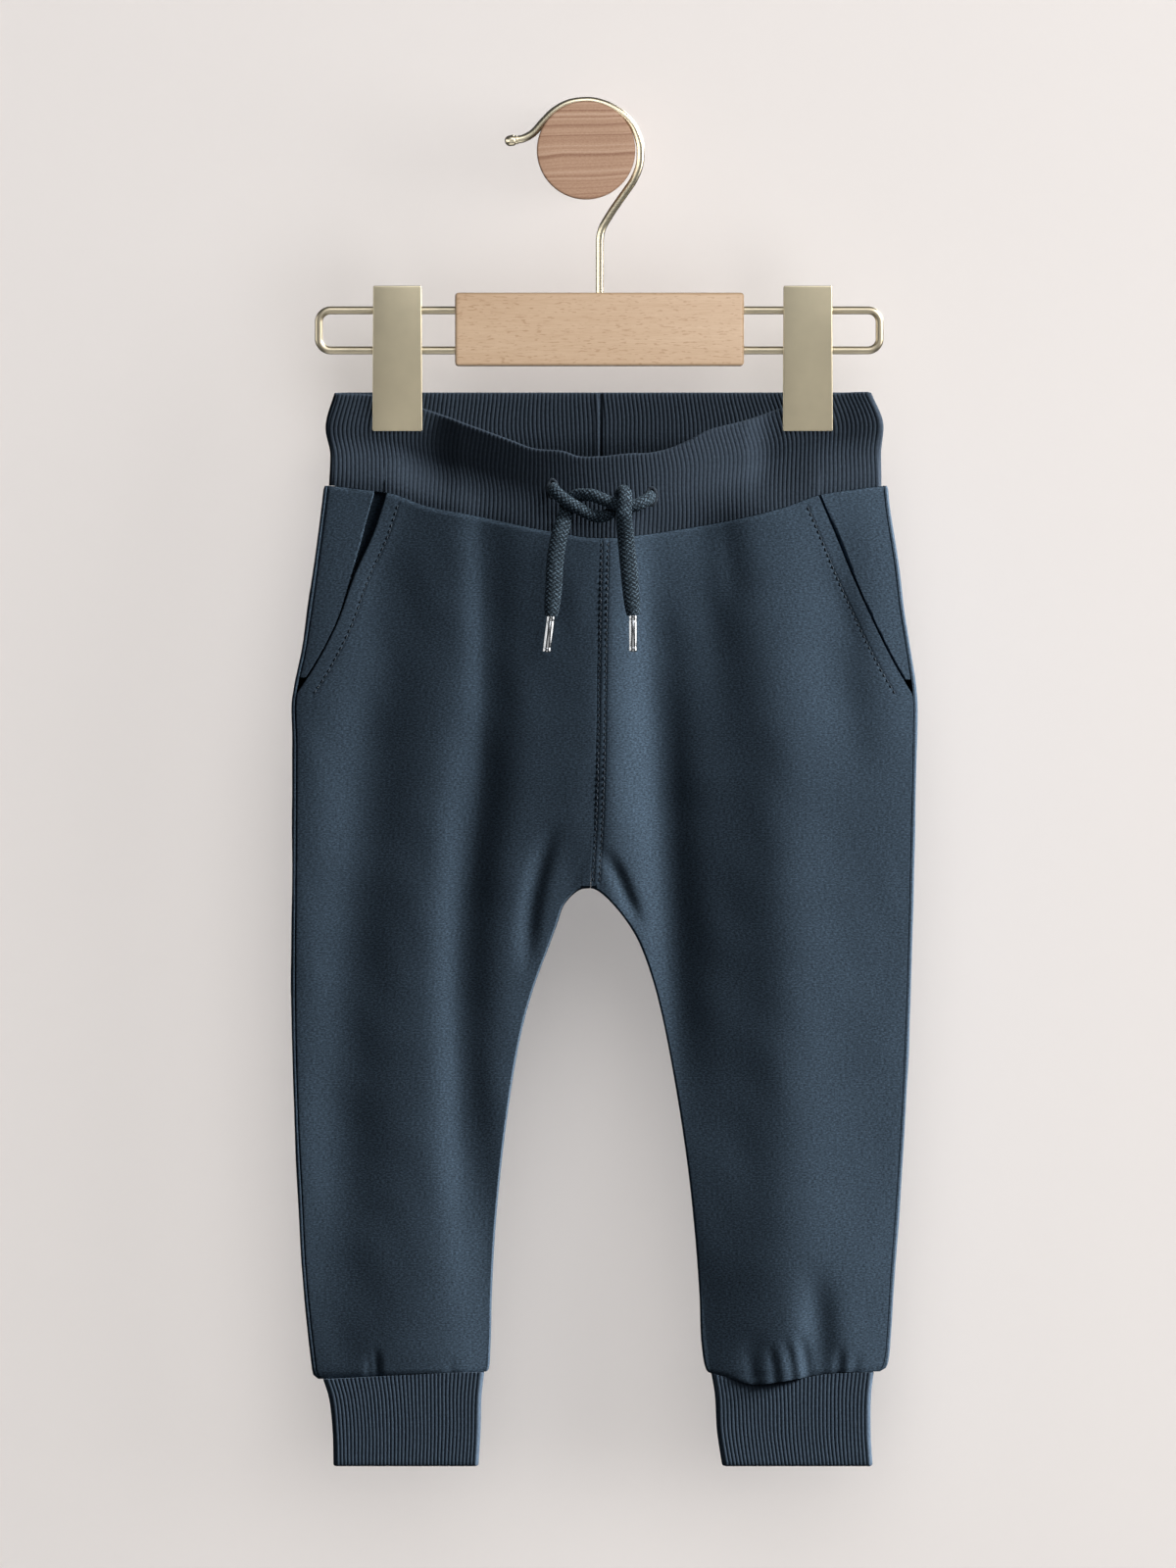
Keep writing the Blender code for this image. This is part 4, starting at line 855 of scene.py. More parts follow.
def swept(line, normals, across, half_width, half_thick, around, offset=None):
    """Points of a tube along a line, an ellipse at each point, moved out by offset."""
    angles = np.arange(around) * 2 * math.pi / around
    c, s = np.cos(angles), np.sin(angles)
    a, b = np.asarray(half_width)[:, None], np.asarray(half_thick)[:, None]
    more = 0 if offset is None else offset
    wide, thick = (a + more) * s, (b + more) * c
    return line[:, None] + wide[..., None] * across[:, None] + thick[..., None] * normals[:, None]


def tube_faces(rows, around, first=0):
    grid = first + np.arange(rows * around).reshape(rows, around)
    after = np.roll(grid, -1, axis=1)
    return quads(grid[:-1], after[:-1], after[1:], grid[1:]) + [grid[0][::-1].tolist(), grid[-1].tolist()]


def braided_cord(side, route, finish):
    line = smooth_line(route, 0.3)
    at, width = line[:, :3], line[:, 3]
    _, normals, across = frames_along(at, (0, -1, 0))
    run = lengths_along(at)
    around = CORD_SIDES
    u = np.arange(around)[None] / around * BRAID_STRANDS
    v = run[:, None] / BRAID_PITCH
    one, other = u + v, u - v
    under = (np.floor(one) + np.floor(other)) % 2 == 0
    crests = np.sin(math.pi * (one % 1)), np.sin(math.pi * (other % 1))
    hump, length = np.where(under, *crests), np.where(under, *crests[::-1])
    bumps = BRAID_RELIEF * (np.sqrt(np.clip(hump, 0, 1)) * (0.55 + 0.45 * length) - 0.75)
    flat = column(CORD_FLATNESS, width, 0, 1)
    half_width = column(CORD_FLATNESS, width, 0, 2) / 2
    points = swept(at, normals, across, half_width, half_width * flat, around, bumps)
    uv = np.stack(np.broadcast_arrays(u * BRAID_ACROSS, run[:, None]), axis=-1)
    obj = add(f"cord_{side}", points.reshape(-1, 3), tube_faces(len(at), around), finish,
              [f"drawstring_{side}"], 80, uv.reshape(-1, 2))
    return obj, at, run[-1]


def turned(profile, sides, start, direction, rib=None):
    """Points and faces of a turned form from (radius, distance) pairs along a direction."""
    direction = np.array(direction, float) / np.linalg.norm(direction)
    side = np.cross(direction, (0, 0, 1) if abs(direction[2]) < 0.9 else (1, 0, 0))
    side /= np.linalg.norm(side)
    other = np.cross(direction, side)
    angles = np.arange(sides) * 2 * math.pi / sides
    around = np.cos(angles)[:, None] * side + np.sin(angles)[:, None] * other
    rings = []
    for radius, along in profile:
        r = radius if rib is None else radius + rib(angles, along)
        rings.append(np.array(start) + direction * along + around * np.reshape(r, (-1, 1)))
    return np.concatenate(rings), tube_faces(len(profile), sides)


def stitches(name, lines, finish):
    """Threads over the cloth: one short rounded piece for each stitch."""
    points, faces = [], []
    ring = np.arange(STITCH_SIDES) * math.pi / (STITCH_SIDES / 2)
    share, high, thick = np.array(STITCH_FORM).T
    for line, front in lines:
        run = lengths_along(line)
        for start in np.arange(0.4, run[-1] - STITCH, STITCH):
            at = start + STITCH * share
            x, z = np.interp(at, run, line[:, 0]), np.interp(at, run, line[:, 1])
            p, n = body_points(x, z, front)
            p = p + n * (unevenness(x, z) + (high - STITCH_SINK))[:, None]
            along = p[-1] - p[0]
            along /= np.linalg.norm(along)
            across = np.cross(along, n[2])
            across /= np.linalg.norm(across)
            up = np.cross(across, along)
            first = len(points) * STITCH_SIDES
            for centre, radius in zip(p, STITCH_R * thick):
                points.append(centre + radius * (np.cos(ring)[:, None] * across + np.sin(ring)[:, None] * up))
            faces += tube_faces(len(STITCH_FORM), STITCH_SIDES, first)
    add(name, np.concatenate(points), faces, finish)


# Materials

NAPPED = dict(Sheen_Weight=0.05, Sheen_Roughness=0.4, Sheen_Tint=(0.45, 0.62, 0.85, 1),
              Roughness=0.95, Specular_IOR_Level=0.12)
TWISTED = dict(Sheen_Weight=0.1, Sheen_Roughness=0.4, Sheen_Tint=(0.5, 0.66, 0.8, 1),
               Roughness=0.85, Specular_IOR_Level=0.25)


class Paint:
    """A node material on one Principled shader, built node by node."""

    def __init__(self, name, **sockets):
        self.mat = bpy.data.materials.new(name)
        self.mat.use_nodes = True
        self.tree = self.mat.node_tree
        self.shader = self.tree.nodes["Principled BSDF"]
        for key, value in sockets.items():
            self.shader.inputs[key.replace("_", " ")].default_value = value

    def node(self, kind, sockets=None, **settings):
        made = self.tree.nodes.new("ShaderNode" + kind)
        for key, value in settings.items():
            setattr(made, key, value)
        for key, value in (sockets or {}).items():
            self.put(made.inputs[key], value)
        return made

    def put(self, socket, value):
        if isinstance(value, bpy.types.NodeSocket):
            self.tree.links.new(value, socket)
        elif isinstance(value, bpy.types.Node):
            self.tree.links.new(value.outputs[0], socket)
        else:
            socket.default_value = value

    def math(self, operation, a, b=0.0):
        return self.node("Math", {0: a, 1: b}, operation=operation).outputs[0]

    def place(self, scale, source="Object"):
        """Coordinates in metres, of the object or of its cloth, times a scale."""
        uv = source == "UV"
        at = self.node("UVMap", uv_map="cloth") if uv else self.node("TexCoord").outputs["Object"]
        return self.node("Mapping", {"Vector": at, "Scale": scale}).outputs[0]

    def noise(self, vector, scale, detail=2.0, rough=0.5):
        made = self.node("TexNoise", {"Vector": vector, "Scale": scale, "Detail": detail, "Roughness": rough})
        return made.outputs["Fac"]

    def ramp(self, factor, stops):
        """Colours between stops (place, colour)."""
        made = self.node("ValToRGB", {"Fac": factor})
        marks = made.color_ramp.elements
        while len(marks) < len(stops):
            marks.new(0.5)
        for mark, (place, colour) in zip(marks, stops):
            mark.position, mark.color = place, (*colour, 1)
        return made.outputs["Color"]

    def shades(self, factor, colour, *stops):
        """Shares of one colour between stops (place, share)."""
        return self.ramp(factor, [(place, shade(colour, share)) for place, share in stops])

    def mix(self, factor, one, other):
        made = self.node("Mix", data_type="RGBA", blend_type="MIX")
        self.put(made.inputs["Factor"], factor)
        for key, value in ((6, one), (7, other)):
            self.put(made.inputs[key], (*value, 1) if isinstance(value, tuple) and len(value) == 3 else value)
        return made.outputs[2]

    def bump(self, height, distance, strength):
        return self.node("Bump", {"Height": height, "Distance": distance, "Strength": strength}).outputs[0]

    def finish(self, colour, normal=None, roughness=None):
        self.put(self.shader.inputs["Base Color"], colour)
        if normal is not None:
            self.put(self.shader.inputs["Normal"], normal)
        if roughness is not None:
            self.put(self.shader.inputs["Roughness"], roughness)
        return self.mat


def shade(colour, share):
    return tuple(c * share for c in colour)


def jersey(name, colour):
    """Brushed sweatshirt cloth: a heathered yarn in short level streaks, faint wales and a soft nap."""
    paint = Paint(name, **NAPPED)
    slub = paint.noise(paint.place((820, 1500, 1), "UV"), 1.0, 4.0, 0.7)
    patches = paint.noise(paint.place((55, 80, 1), "UV"), 1.0, 3.0, 0.55)
    wale = paint.node("TexWave", {"Vector": paint.place((1, 1, 1), "UV"), "Scale": 290.0, "Distortion": 1.2,
                                  "Detail": 2.0, "Detail Scale": 3.0}, bands_direction="X").outputs["Fac"]
    base = paint.shades(slub, colour, (0.34, 0.3), (0.5, 0.97), (0.66, 2.0))
    base = paint.mix(0.15, base, paint.shades(patches, colour, (0.35, 0.86), (0.65, 1.12)))
    height = paint.math("ADD", paint.math("MULTIPLY", wale, 0.3), slub)
    return paint.finish(base, paint.bump(height, 0.00003, 0.5))


def rib_knit(name, colour):
    """Rib: the ridges are in the mesh; loops along them and a little heather are here."""
    paint = Paint(name, **NAPPED)
    at = paint.place((1, 1, 1), "UV")
    loops = paint.node("TexWave", {"Vector": at, "Scale": 210.0, "Distortion": 3.0, "Detail": 1.5,
                                   "Detail Scale": 2.5}, bands_direction="Y").outputs["Fac"]
    slub = paint.noise(paint.place((1400, 700, 1), "UV"), 1.0, 3.0, 0.6)
    base = paint.shades(slub, colour, (0.3, 0.74), (0.5, 1), (0.72, 1.3))
    nap = paint.noise(paint.place((2600, 2600, 1), "UV"), 1.0, 2.0, 0.6)
    height = paint.math("ADD", paint.math("MULTIPLY", loops, 0.6), nap)
    return paint.finish(base, paint.bump(height, 0.00006, 0.6))


def yarn(name, colour, light):
    """Braided cord and sewing thread: the strands are in the mesh, their fibres here."""
    paint = Paint(name, **TWISTED)
    fleck = paint.noise(paint.place((900, 900, 900)), 1.0, 3.0, 0.65)
    fibre = paint.noise(paint.place((3000, 3000, 3000)), 1.0, 2.0, 0.6)
    base = paint.ramp(fleck, ((0.34, shade(colour, 0.7)), (0.52, colour), (0.68, light)))
    return paint.finish(base, paint.bump(fibre, 0.00012, 0.8))


def braid(name, dark, light):
    """The cord's braid: strands that cross in small Vs, as in its mesh, with painted shade in the gaps
    between them and painted light on their crests.
    """
    paint = Paint(name, **TWISTED)
    crossings = paint.place((1 / (BRAID_ACROSS * MM), 1 / (BRAID_PITCH * MM), 1), "UV")
    at = paint.node("SeparateXYZ", {0: crossings}).outputs
    one, other = paint.math("ADD", at["X"], at["Y"]), paint.math("SUBTRACT", at["X"], at["Y"])
    cells = paint.math("ADD", paint.math("FLOOR", one), paint.math("FLOOR", other))
    under = paint.math("FLOORED_MODULO", cells, 2.0)
    humps = [paint.math("MULTIPLY", paint.math("PINGPONG", strand, 0.5), 2.0) for strand in (one, other)]
    turn = paint.math("MULTIPLY", under, paint.math("SUBTRACT", humps[1], humps[0]))
    hump = paint.math("ADD", humps[0], turn)
    fleck = paint.noise(paint.place((900, 900, 900)), 1.0, 3.0, 0.65)
    lit = paint.math("MULTIPLY", hump, paint.math("ADD", paint.math("MULTIPLY", fleck, 2.0), -0.2))
    # Painted shade in the gaps and painted light on the crests, varied by the yarn's flecks.
    base = paint.ramp(lit, ((0.15, shade(dark, 0.35)), (0.5, dark), (0.85, light)))
    fibre = paint.noise(paint.place((3000, 3000, 3000)), 1.0, 2.0, 0.6)
    return paint.finish(base, paint.bump(fibre, 0.0001, 0.6))


def plated(name, colour, rough, streak=(60, 60, 9000)):
    """Satin plated metal with faint brushing."""
    paint = Paint(name, Metallic=1.0)
    brushing = paint.noise(paint.place(streak), 1.0, 3.0, 0.6)
    cloud = paint.noise(paint.place((45, 45, 45)), 1.0, 3.0, 0.6)
    base = paint.shades(cloud, colour, (0.3, 0.93), (0.7, 1.04))
    fine = paint.node("Math", {0: brushing, 1: 0.12, 2: rough}, operation="MULTIPLY_ADD")
    return paint.finish(base, paint.bump(brushing, 0.00002, 0.35), fine)


def beech():
    """Pale beech along X: soft growth bands and the short dark flecks of its rays."""
    paint = Paint("beech", Roughness=0.5, Specular_IOR_Level=0.4, Coat_Weight=0.12, Coat_Roughness=0.35)
    bands = paint.noise(paint.place((9, 60, 150)), 1.0, 4.0, 0.6)
    rays = paint.noise(paint.place((300, 500, 1400)), 1.0, 1.0, 0.5)
    pores = paint.noise(paint.place((140, 2500, 3600)), 1.0, 2.0, 0.55)
    base = paint.ramp(bands, ((0.3, (0.63, 0.43, 0.275)), (0.55, (0.69, 0.49, 0.325)),
                              (0.75, (0.74, 0.54, 0.37))))
    fleck = paint.ramp(rays, ((0.6, (0, 0, 0)), (0.68, (1, 1, 1))))
    base = paint.mix(paint.math("MULTIPLY", fleck, 0.6), base, (0.42, 0.235, 0.125))
    base = paint.mix(0.22, base, paint.ramp(pores, ((0.4, (0.5, 0.34, 0.2)), (0.6, (0.74, 0.55, 0.38)))))
    return paint.finish(base, paint.bump(pores, 0.00005, 0.35))


def peg_wood():
    """The sawn end of a peg: reddish wood with level growth bands."""
    paint = Paint("peg_wood", Roughness=0.62, Specular_IOR_Level=0.3)
    wander = paint.noise(paint.place((22, 22, 60)), 1.0)
    at = paint.node("SeparateXYZ", {0: paint.node("TexCoord").outputs["Object"]}).outputs
    level = paint.math("ADD", at["Z"], paint.math("MULTIPLY", at["X"], -0.045))
    bent = paint.math("ADD", level, paint.math("MULTIPLY", wander, 0.0032))
    ring = paint.node("TexNoise", {"W": paint.math("MULTIPLY", bent, 420.0), "Scale": 1.0, "Detail": 2.0,
                                   "Roughness": 0.65}, noise_dimensions="1D").outputs["Fac"]
    pores = paint.noise(paint.place((900, 900, 1700)), 1.0, 3.0, 0.6)
    base = paint.ramp(ring, ((0.36, (0.29, 0.145, 0.085)), (0.46, (0.46, 0.275, 0.18)),
                             (0.56, (0.53, 0.335, 0.225)), (0.68, (0.64, 0.44, 0.32))))
    base = paint.mix(0.3, base, paint.ramp(pores, ((0.35, (0.36, 0.2, 0.13)), (0.65, (0.62, 0.42, 0.3)))))
    return paint.finish(base, paint.bump(paint.math("ADD", ring, pores), 0.0001, 0.3))


def plain(name, colour):
    paint = Paint(name, Specular_IOR_Level=0.1, Roughness=0.9)
    mottle = paint.noise(paint.place((3, 3, 3)), 1.0)
    return paint.finish(paint.shades(mottle, colour, (0.3, 0.985), (0.7, 1)))


# The pieces


def camera():
    """A long lens far in front, level with the middle of the frame."""
    made = bpy.data.objects.new("camera", bpy.data.cameras.new("camera"))
    made.data.sensor_width, made.data.lens = 36.0, 600.0
    made.location = (0.0009, MID_Y * MM - CAMERA_FAR, -0.2909)
    made.rotation_euler = (math.pi / 2, 0, 0)
    bpy.context.scene.collection.objects.link(made)
    bpy.context.scene.camera = made


def drawstring(mat):
    for side, route in (("right", CORD_RIGHT), ("left", CORD_LEFT)):
        cord, line, length = braided_cord(side, route, mat["cord"])
        top = line[-1] + np.array([0, 0, -SEAM_GAP])
        lean = np.array([TIP_LEAN[side], 0, -TIP_LENGTH])
        r, deep = TIP_R, TIP_LENGTH
        upper = [(r - inward, along) for inward, along in TIP_COLLAR]
        lower = [(r - inward, deep - along) for inward, along in TIP_COLLAR[:0:-1]]
        profile = [(r - 0.75, 2.0), (r - 0.3, -0.1), (r - 0.05, 0.05), *upper, (r, deep * 0.5), *lower,
                   *((r - inward, deep - back) for inward, back in TIP_MOUTH)]
        points, faces = turned(profile, 48, top, lean, tip_seam)
        tip = add(f"cord_end_{side}", points, faces, mat["tip"], [f"tip_{side}"])


def tip_seam(angle, _):
    """The sheet metal's seam runs down the tip, a little to the side."""
    off = (angle - TIP_SEAM + math.pi) % (2 * math.pi) - math.pi
    return -0.28 * np.exp(-((off / 0.16) ** 2))


def cloth_piece(name, grid, node, finish):
    """A closed wall of cloth on a grid of outer points and their directions."""
    points, faces, uv = wall(*grid, CLOTH_WALL, cloth_coordinates(grid[0]))
    add(name, points, faces, finish, [node], uv=uv)


def garment(mat):
    fine = 1
    for side in SIGN:
        for name, rows, cols in (("front", 321, 171), ("back", 241, 121)):
            rows, cols = ((count - 1) // fine // 2 * 2 + 1 for count in (rows, cols))
            grid = panel(side, name == "front", rows, cols)
            cloth_piece(f"{name}_panel_{side}", grid, f"{name}_{side}", mat["cloth"])
        cloth_piece(f"pocket_panel_{side}", pocket_panel(side), f"pocket_back_{side}", mat["cloth"])
        ribbed_tube(f"cuff_rib_{side}", cuff_surface(side), CUFF_RIBS, np.linspace(RIB_LOW, 1, 22),
                    np.linspace(RIB_LOW, 1, 8), mat["rib"], f"cuff_{side}", CUFF_WALL)
    # The band's rows lie closer where its buttonholes are.
    shares = np.concatenate([np.linspace(0, 0.3, 8)[:-1], np.linspace(0.3, 0.72, 19)[:-1],
                             np.linspace(0.72, RIB_HIGH, 8)])
    ribbed_tube("waistband_rib", band_surface, BAND_RIBS, shares, np.linspace(0, RIB_HIGH, 14), mat["band"],
                "waistband", BAND_WALL, cap_high=True, carve=carve_band)
    lines = [(line, front) for side in SIGN for front in (True, False) for line in stitch_lines(side, front)]
    stitches("stitching", lines, mat["thread"])
    buttonholes(mat["thread"])


def carve_band(points, out, inside):
    """Sinks the two buttonholes and the band's seam into the rib."""
    x, z, front = points[:, 0], points[:, 2], points[:, 1] < MID_Y
    off = x - BAND_SEAM[0]
    sink = ~front * (BAND_SEAM[1] * np.exp(-((off / 0.55) ** 2)) - 0.25 * np.exp(-(((off + 1.8) / 0.9) ** 2)))
    if inside:
        return points + out * sink[:, None]
    for place, height in BUTTONHOLES.values():
        off = np.hypot((x - place) / BUTTONHOLE_R[0], (z - height) / BUTTONHOLE_R[1])
        sink = sink + front * BUTTONHOLE_SINK * ease((1.15 - off) / 0.3)
    return points - out * sink[:, None]


def band_place(x, z):
    """The band's outer point and direction on the front, at a place and height."""
    arc = np.linspace(0.02, 0.48, 160)
    share = np.linspace(0.0, 1.0, 60)
    a, s = np.meshgrid(arc, share)
    p = band_surface(a.ravel(), s.ravel())
    near = np.argsort(np.hypot(p[:, 0] - x, p[:, 2] - z))[:12]
    fit, *_ = np.linalg.lstsq(np.c_[np.ones(12), p[near][:, [0, 2]]], p[near][:, 1], rcond=None)
    out = np.array([fit[1], -1.0, fit[2]])
    return np.array([x, fit @ (1, x, z), z]), out / np.linalg.norm(out)


def buttonholes(finish):
    """Satin-stitched rings, a thread's width of ridges round each slot."""
    for side, (x, z) in BUTTONHOLES.items():
        centre, out = band_place(x, z)
        along = np.cross(out, (1, 0, 0))
        along /= np.linalg.norm(along)
        across = np.cross(along, out)
        count, around = 260, 10
        t = np.arange(count) * 2 * math.pi / count
        thread = BUTTONHOLE_STITCH + BUTTONHOLE_RIDGE * np.abs(np.sin(t * BUTTONHOLE_RIDGES / 2))
        path = (centre + out * 0.45 + np.cos(t)[:, None] * across * (BUTTONHOLE_R[0] + BUTTONHOLE_EDGE)
                + np.sin(t)[:, None] * along * (BUTTONHOLE_R[1] + BUTTONHOLE_EDGE))
        tangent = np.roll(path, -1, axis=0) - np.roll(path, 1, axis=0)
        tangent /= np.linalg.norm(tangent, axis=1, keepdims=True)
        sideways = np.cross(tangent, out)
        s = np.arange(around) * 2 * math.pi / around
        ring = (path[:, None] + (thread[:, None] * 1.25 * np.cos(s))[..., None] * sideways[:, None]
                + (thread[:, None] * np.sin(s))[..., None] * out)
        grid = np.arange(count * around).reshape(count, around)
        after, onward = np.roll(grid, -1, axis=0), np.roll(grid, -1, axis=1)
        faces = quads(grid, after, np.roll(after, -1, axis=1), onward)
        add(f"buttonhole_{side}", ring.reshape(-1, 3), faces, finish)


def pocket_panel(side):
    """The hip's panel behind the pocket opening, finer than the frame's."""
    sign = SIGN[side]
    seam_arc, half = float(edge_arc(SEAM_IN)), SEWN_GAP / 2
    under = CLOTH + POCKET_GAP_UNDER
    heights = np.linspace(POCKETS[0][0], POCKETS[-1][0], 200)
    opening = (pocket_x(heights, side) - side_x(heights, side)) * sign
    end = heights[opening > SEAM_IN + POCKET_TIP][-1]
    top = waist_z(side_x(SIDES[0][0], side), True) - half
    xs, zs, sinks = [], [], []
    for v in np.linspace(0, 1, 61):
        z_row = top + (end - top) * v
        edge = side_x(z_row, side)
        gap = float(edge_arc((pocket_x(z_row, side) - edge) * sign))
        first = seam_arc + half
        arc = np.concatenate([first + (gap - first) * np.linspace(0, 1, 41),
                              gap + POCKET_UNDER * np.linspace(0.1, 1, 10)])
        width = float(side_x(z_row, "left") - side_x(z_row, "right"))
        x = edge + sign * edge_place(arc, width)
        xs.append(x)
        zs.append(z_row + (1 - v) * (np.minimum(waist_z(x, True) - half, z_row) - z_row))
        mouth = column(MOUTHS, z_row, 0, COLUMN[side])
        sinks.append(0.2 + (under - 0.2) * ease((arc - gap + mouth + MOUTH_STEP / 2) / MOUTH_STEP))
    x, z, sink = np.array(xs), np.array(zs), np.array(sinks)
    p, n = body_points(x, z, True, lift=False)
    outer, _, waist, _ = ROLLS[side]
    sink = sink + rolled(edge_runs(p)[::2], (outer, waist))
    return p - n * sink[..., None], n


def wire(name, line, radius, finish, stands_for, sides=24, extra=None):
    line = np.asarray(line, float)
    _, normals, across = frames_along(line, (0, -1, 0))
    points = swept(line, normals, across, np.full(len(line), radius), np.full(len(line), radius), sides)
    points, faces = points.reshape(-1, 3), tube_faces(len(line), sides)
    if extra is not None:
        more, more_faces = extra
        faces = faces + [[i + len(points) for i in face] for face in more_faces]
        points = np.concatenate([points, more])
    add(name, points, faces, finish, stands_for, 40)


def hook(mat):
    line = smooth_line([(x, MID_Y, z) for x, z in HOOK_LINE], 0.8)
    onward = line[-1] - line[-2]
    profile = [(WIRE_R * 0.9, -1.6), (WIRE_R + 0.25, -1.3), (WIRE_R + 0.3, -0.6),
               *((HOOK_BALL_R * share, along) for share, along in HOOK_BALL), (0.05, 4.5)]
    cap = turned(profile, 32, line[-1], onward)
    wire("hook", line, WIRE_R, mat["metal"], ["hanger_hook"], extra=cap)


def end_wires(mat):
    for side, end_x, block_x in (("right", WIRE_ENDS_X[0], BLOCK_X[0]), ("left", WIRE_ENDS_X[1], BLOCK_X[1])):
        sign = 1 if end_x > block_x else -1
        inside = block_x - sign * (SOCKET_DEPTH - SEAM_GAP)
        corners = []
        for centre_z, first in ((WIRE_TOP_Z - WIRE_CORNER_R, 90), (WIRE_BOTTOM_Z + WIRE_CORNER_R, 0)):
            for angle in np.radians(np.linspace(first, first - 90, 19)):
                corners.append((end_x - sign * WIRE_CORNER_R * (1 - math.cos(angle)), MID_Y,
                                centre_z + WIRE_CORNER_R * math.sin(angle)))
        line = [(inside, MID_Y, WIRE_TOP_Z), *corners, (inside, MID_Y, WIRE_BOTTOM_Z)]
        wire(f"wire_{side}", line, WIRE_R, mat["wire"], [f"hanger_wire_{side}"])


def bevelled_box(low, high, radius, segments):
    shape = bmesh.new()
    bmesh.ops.create_cube(shape, size=1)
    low, high = np.array(low, float), np.array(high, float)
    for vert in shape.verts:
        vert.co = tuple((low + high) / 2 + np.array(vert.co) * (high - low))
    bmesh.ops.bevel(shape, geom=list(shape.edges), offset=radius, segments=segments, profile=0.5,
                    affect="EDGES")
    shape.verts.index_update()
    points = np.array([tuple(v.co) for v in shape.verts])
    faces = [tuple(v.index for v in face.verts) for face in shape.faces]
    shape.free()
    return points, faces


def block(mat):
    half = BLOCK_THICK / 2
    low, high = zip(BLOCK_X, (MID_Y - half, MID_Y + half), BLOCK_Z)
    points, faces = bevelled_box(low, high, BLOCK_BEVEL, 5)
    obj = add("block", points, faces, mat["beech"], ["hanger_block"], 50)
    holes = [((HOOK_X, MID_Y, BLOCK_Z[1]), (0, 0, 1))]
    holes += [((end, MID_Y, z), (sign, 0, 0)) for end, sign in ((BLOCK_X[0], -1), (BLOCK_X[1], 1))
              for z in (WIRE_TOP_Z, WIRE_BOTTOM_Z)]
    mouth = SOCKET_R + SOCKET_RIM
    socket = [(SOCKET_R, -SOCKET_DEPTH), (SOCKET_R, -0.5), (mouth, 0.4), (mouth, 2.0)]
    cutters = []
    for at, out in holes:
        points, faces = turned(socket, 32, at, out)
        cutter = add(f"cut_{len(cutters)}", points, faces, mat["beech"])
        boolean = obj.modifiers.new("socket", "BOOLEAN")
        boolean.object, boolean.operation, boolean.solver = cutter, "DIFFERENCE", "EXACT"
        cutters.append(cutter)
    bpy.context.view_layer.update()
    done = bpy.data.meshes.new_from_object(obj.evaluated_get(bpy.context.evaluated_depsgraph_get()))
    obj.modifiers.clear()
    obj.data = done
    for cutter in cutters:
        bpy.data.objects.remove(cutter, do_unlink=True)


def clip(side, centre, mat):
    """Two bevelled plates that taper to the top, and a coiled spring."""
    half = CLIP_WIDTH / 2
    for name, sign in (("front", -1), ("rear", 1)):
        points, faces = bevelled_box((-half, 0, CLIP_JAW_Z), (half, CLIP_THICK, CLIP_TOP_Z), CLIP_BEVEL, 4)
        share = (points[:, 2] - CLIP_JAW_Z) / (CLIP_TOP_Z - CLIP_JAW_Z)
        points[:, 0] *= 1 - CLIP_TAPER * share
        apart = CLIP_JAW_Y + (CLIP_TOP_Y - CLIP_JAW_Y) * share
        y = MID_Y + sign * (apart + points[:, 1])
        points = np.stack([points[:, 0] + centre, y, points[:, 2]], axis=1)
        add(f"clip_plate_{side}_{name}", points, faces, mat["plate"],
            [f"clip_{side}_{name}"], 50)
    t = np.linspace(0, SPRING_TURNS * 2 * math.pi, SPRING_TURNS * 36)
    x = centre + (t / t[-1] - 0.5) * (SPRING_LENGTH - 2 * SPRING_WIRE_R)
    coil = np.stack([x, MID_Y + SPRING_R * np.cos(t), WIRE_BOTTOM_Z + SPRING_R * np.sin(t)], axis=1)
    wire(f"spring_{side}", coil, SPRING_WIRE_R, mat["metal"], [f"clip_{side}_spring"], sides=10)


def wall_peg(mat):
    deep = PEG_LENGTH
    edge = [(PEG_R - inward, deep - back) for inward, back in PEG_ROUND]
    profile = [(0.05, 0.0), (PEG_NECK_R, 0.0), (PEG_NECK_R, PEG_NECK), (PEG_R - 0.4, PEG_NECK),
               (PEG_R, PEG_NECK + 0.4), *edge, (PEG_R * 0.6, deep), (PEG_R * 0.3, deep), (0.05, deep)]
    points, faces = turned(profile, 128, (0, 0, 0), (0, -1, 0))
    add("peg", points, faces, mat["peg"], ["wall_peg"], 50)


# Room and light

ROOM_FAR, ROOM_LOW, ROOM_HIGH = 9.0, -1.1, 6.0  # metres
TINTS = {"warm": (1.0, 0.975, 0.95), "soft": (1.0, 0.98, 0.96), "cool": (0.95, 0.97, 1.0),
         "wall": (1.0, 0.985, 0.975), "hook": (1.0, 0.98, 0.95), "card": (1.0, 0.985, 0.96)}
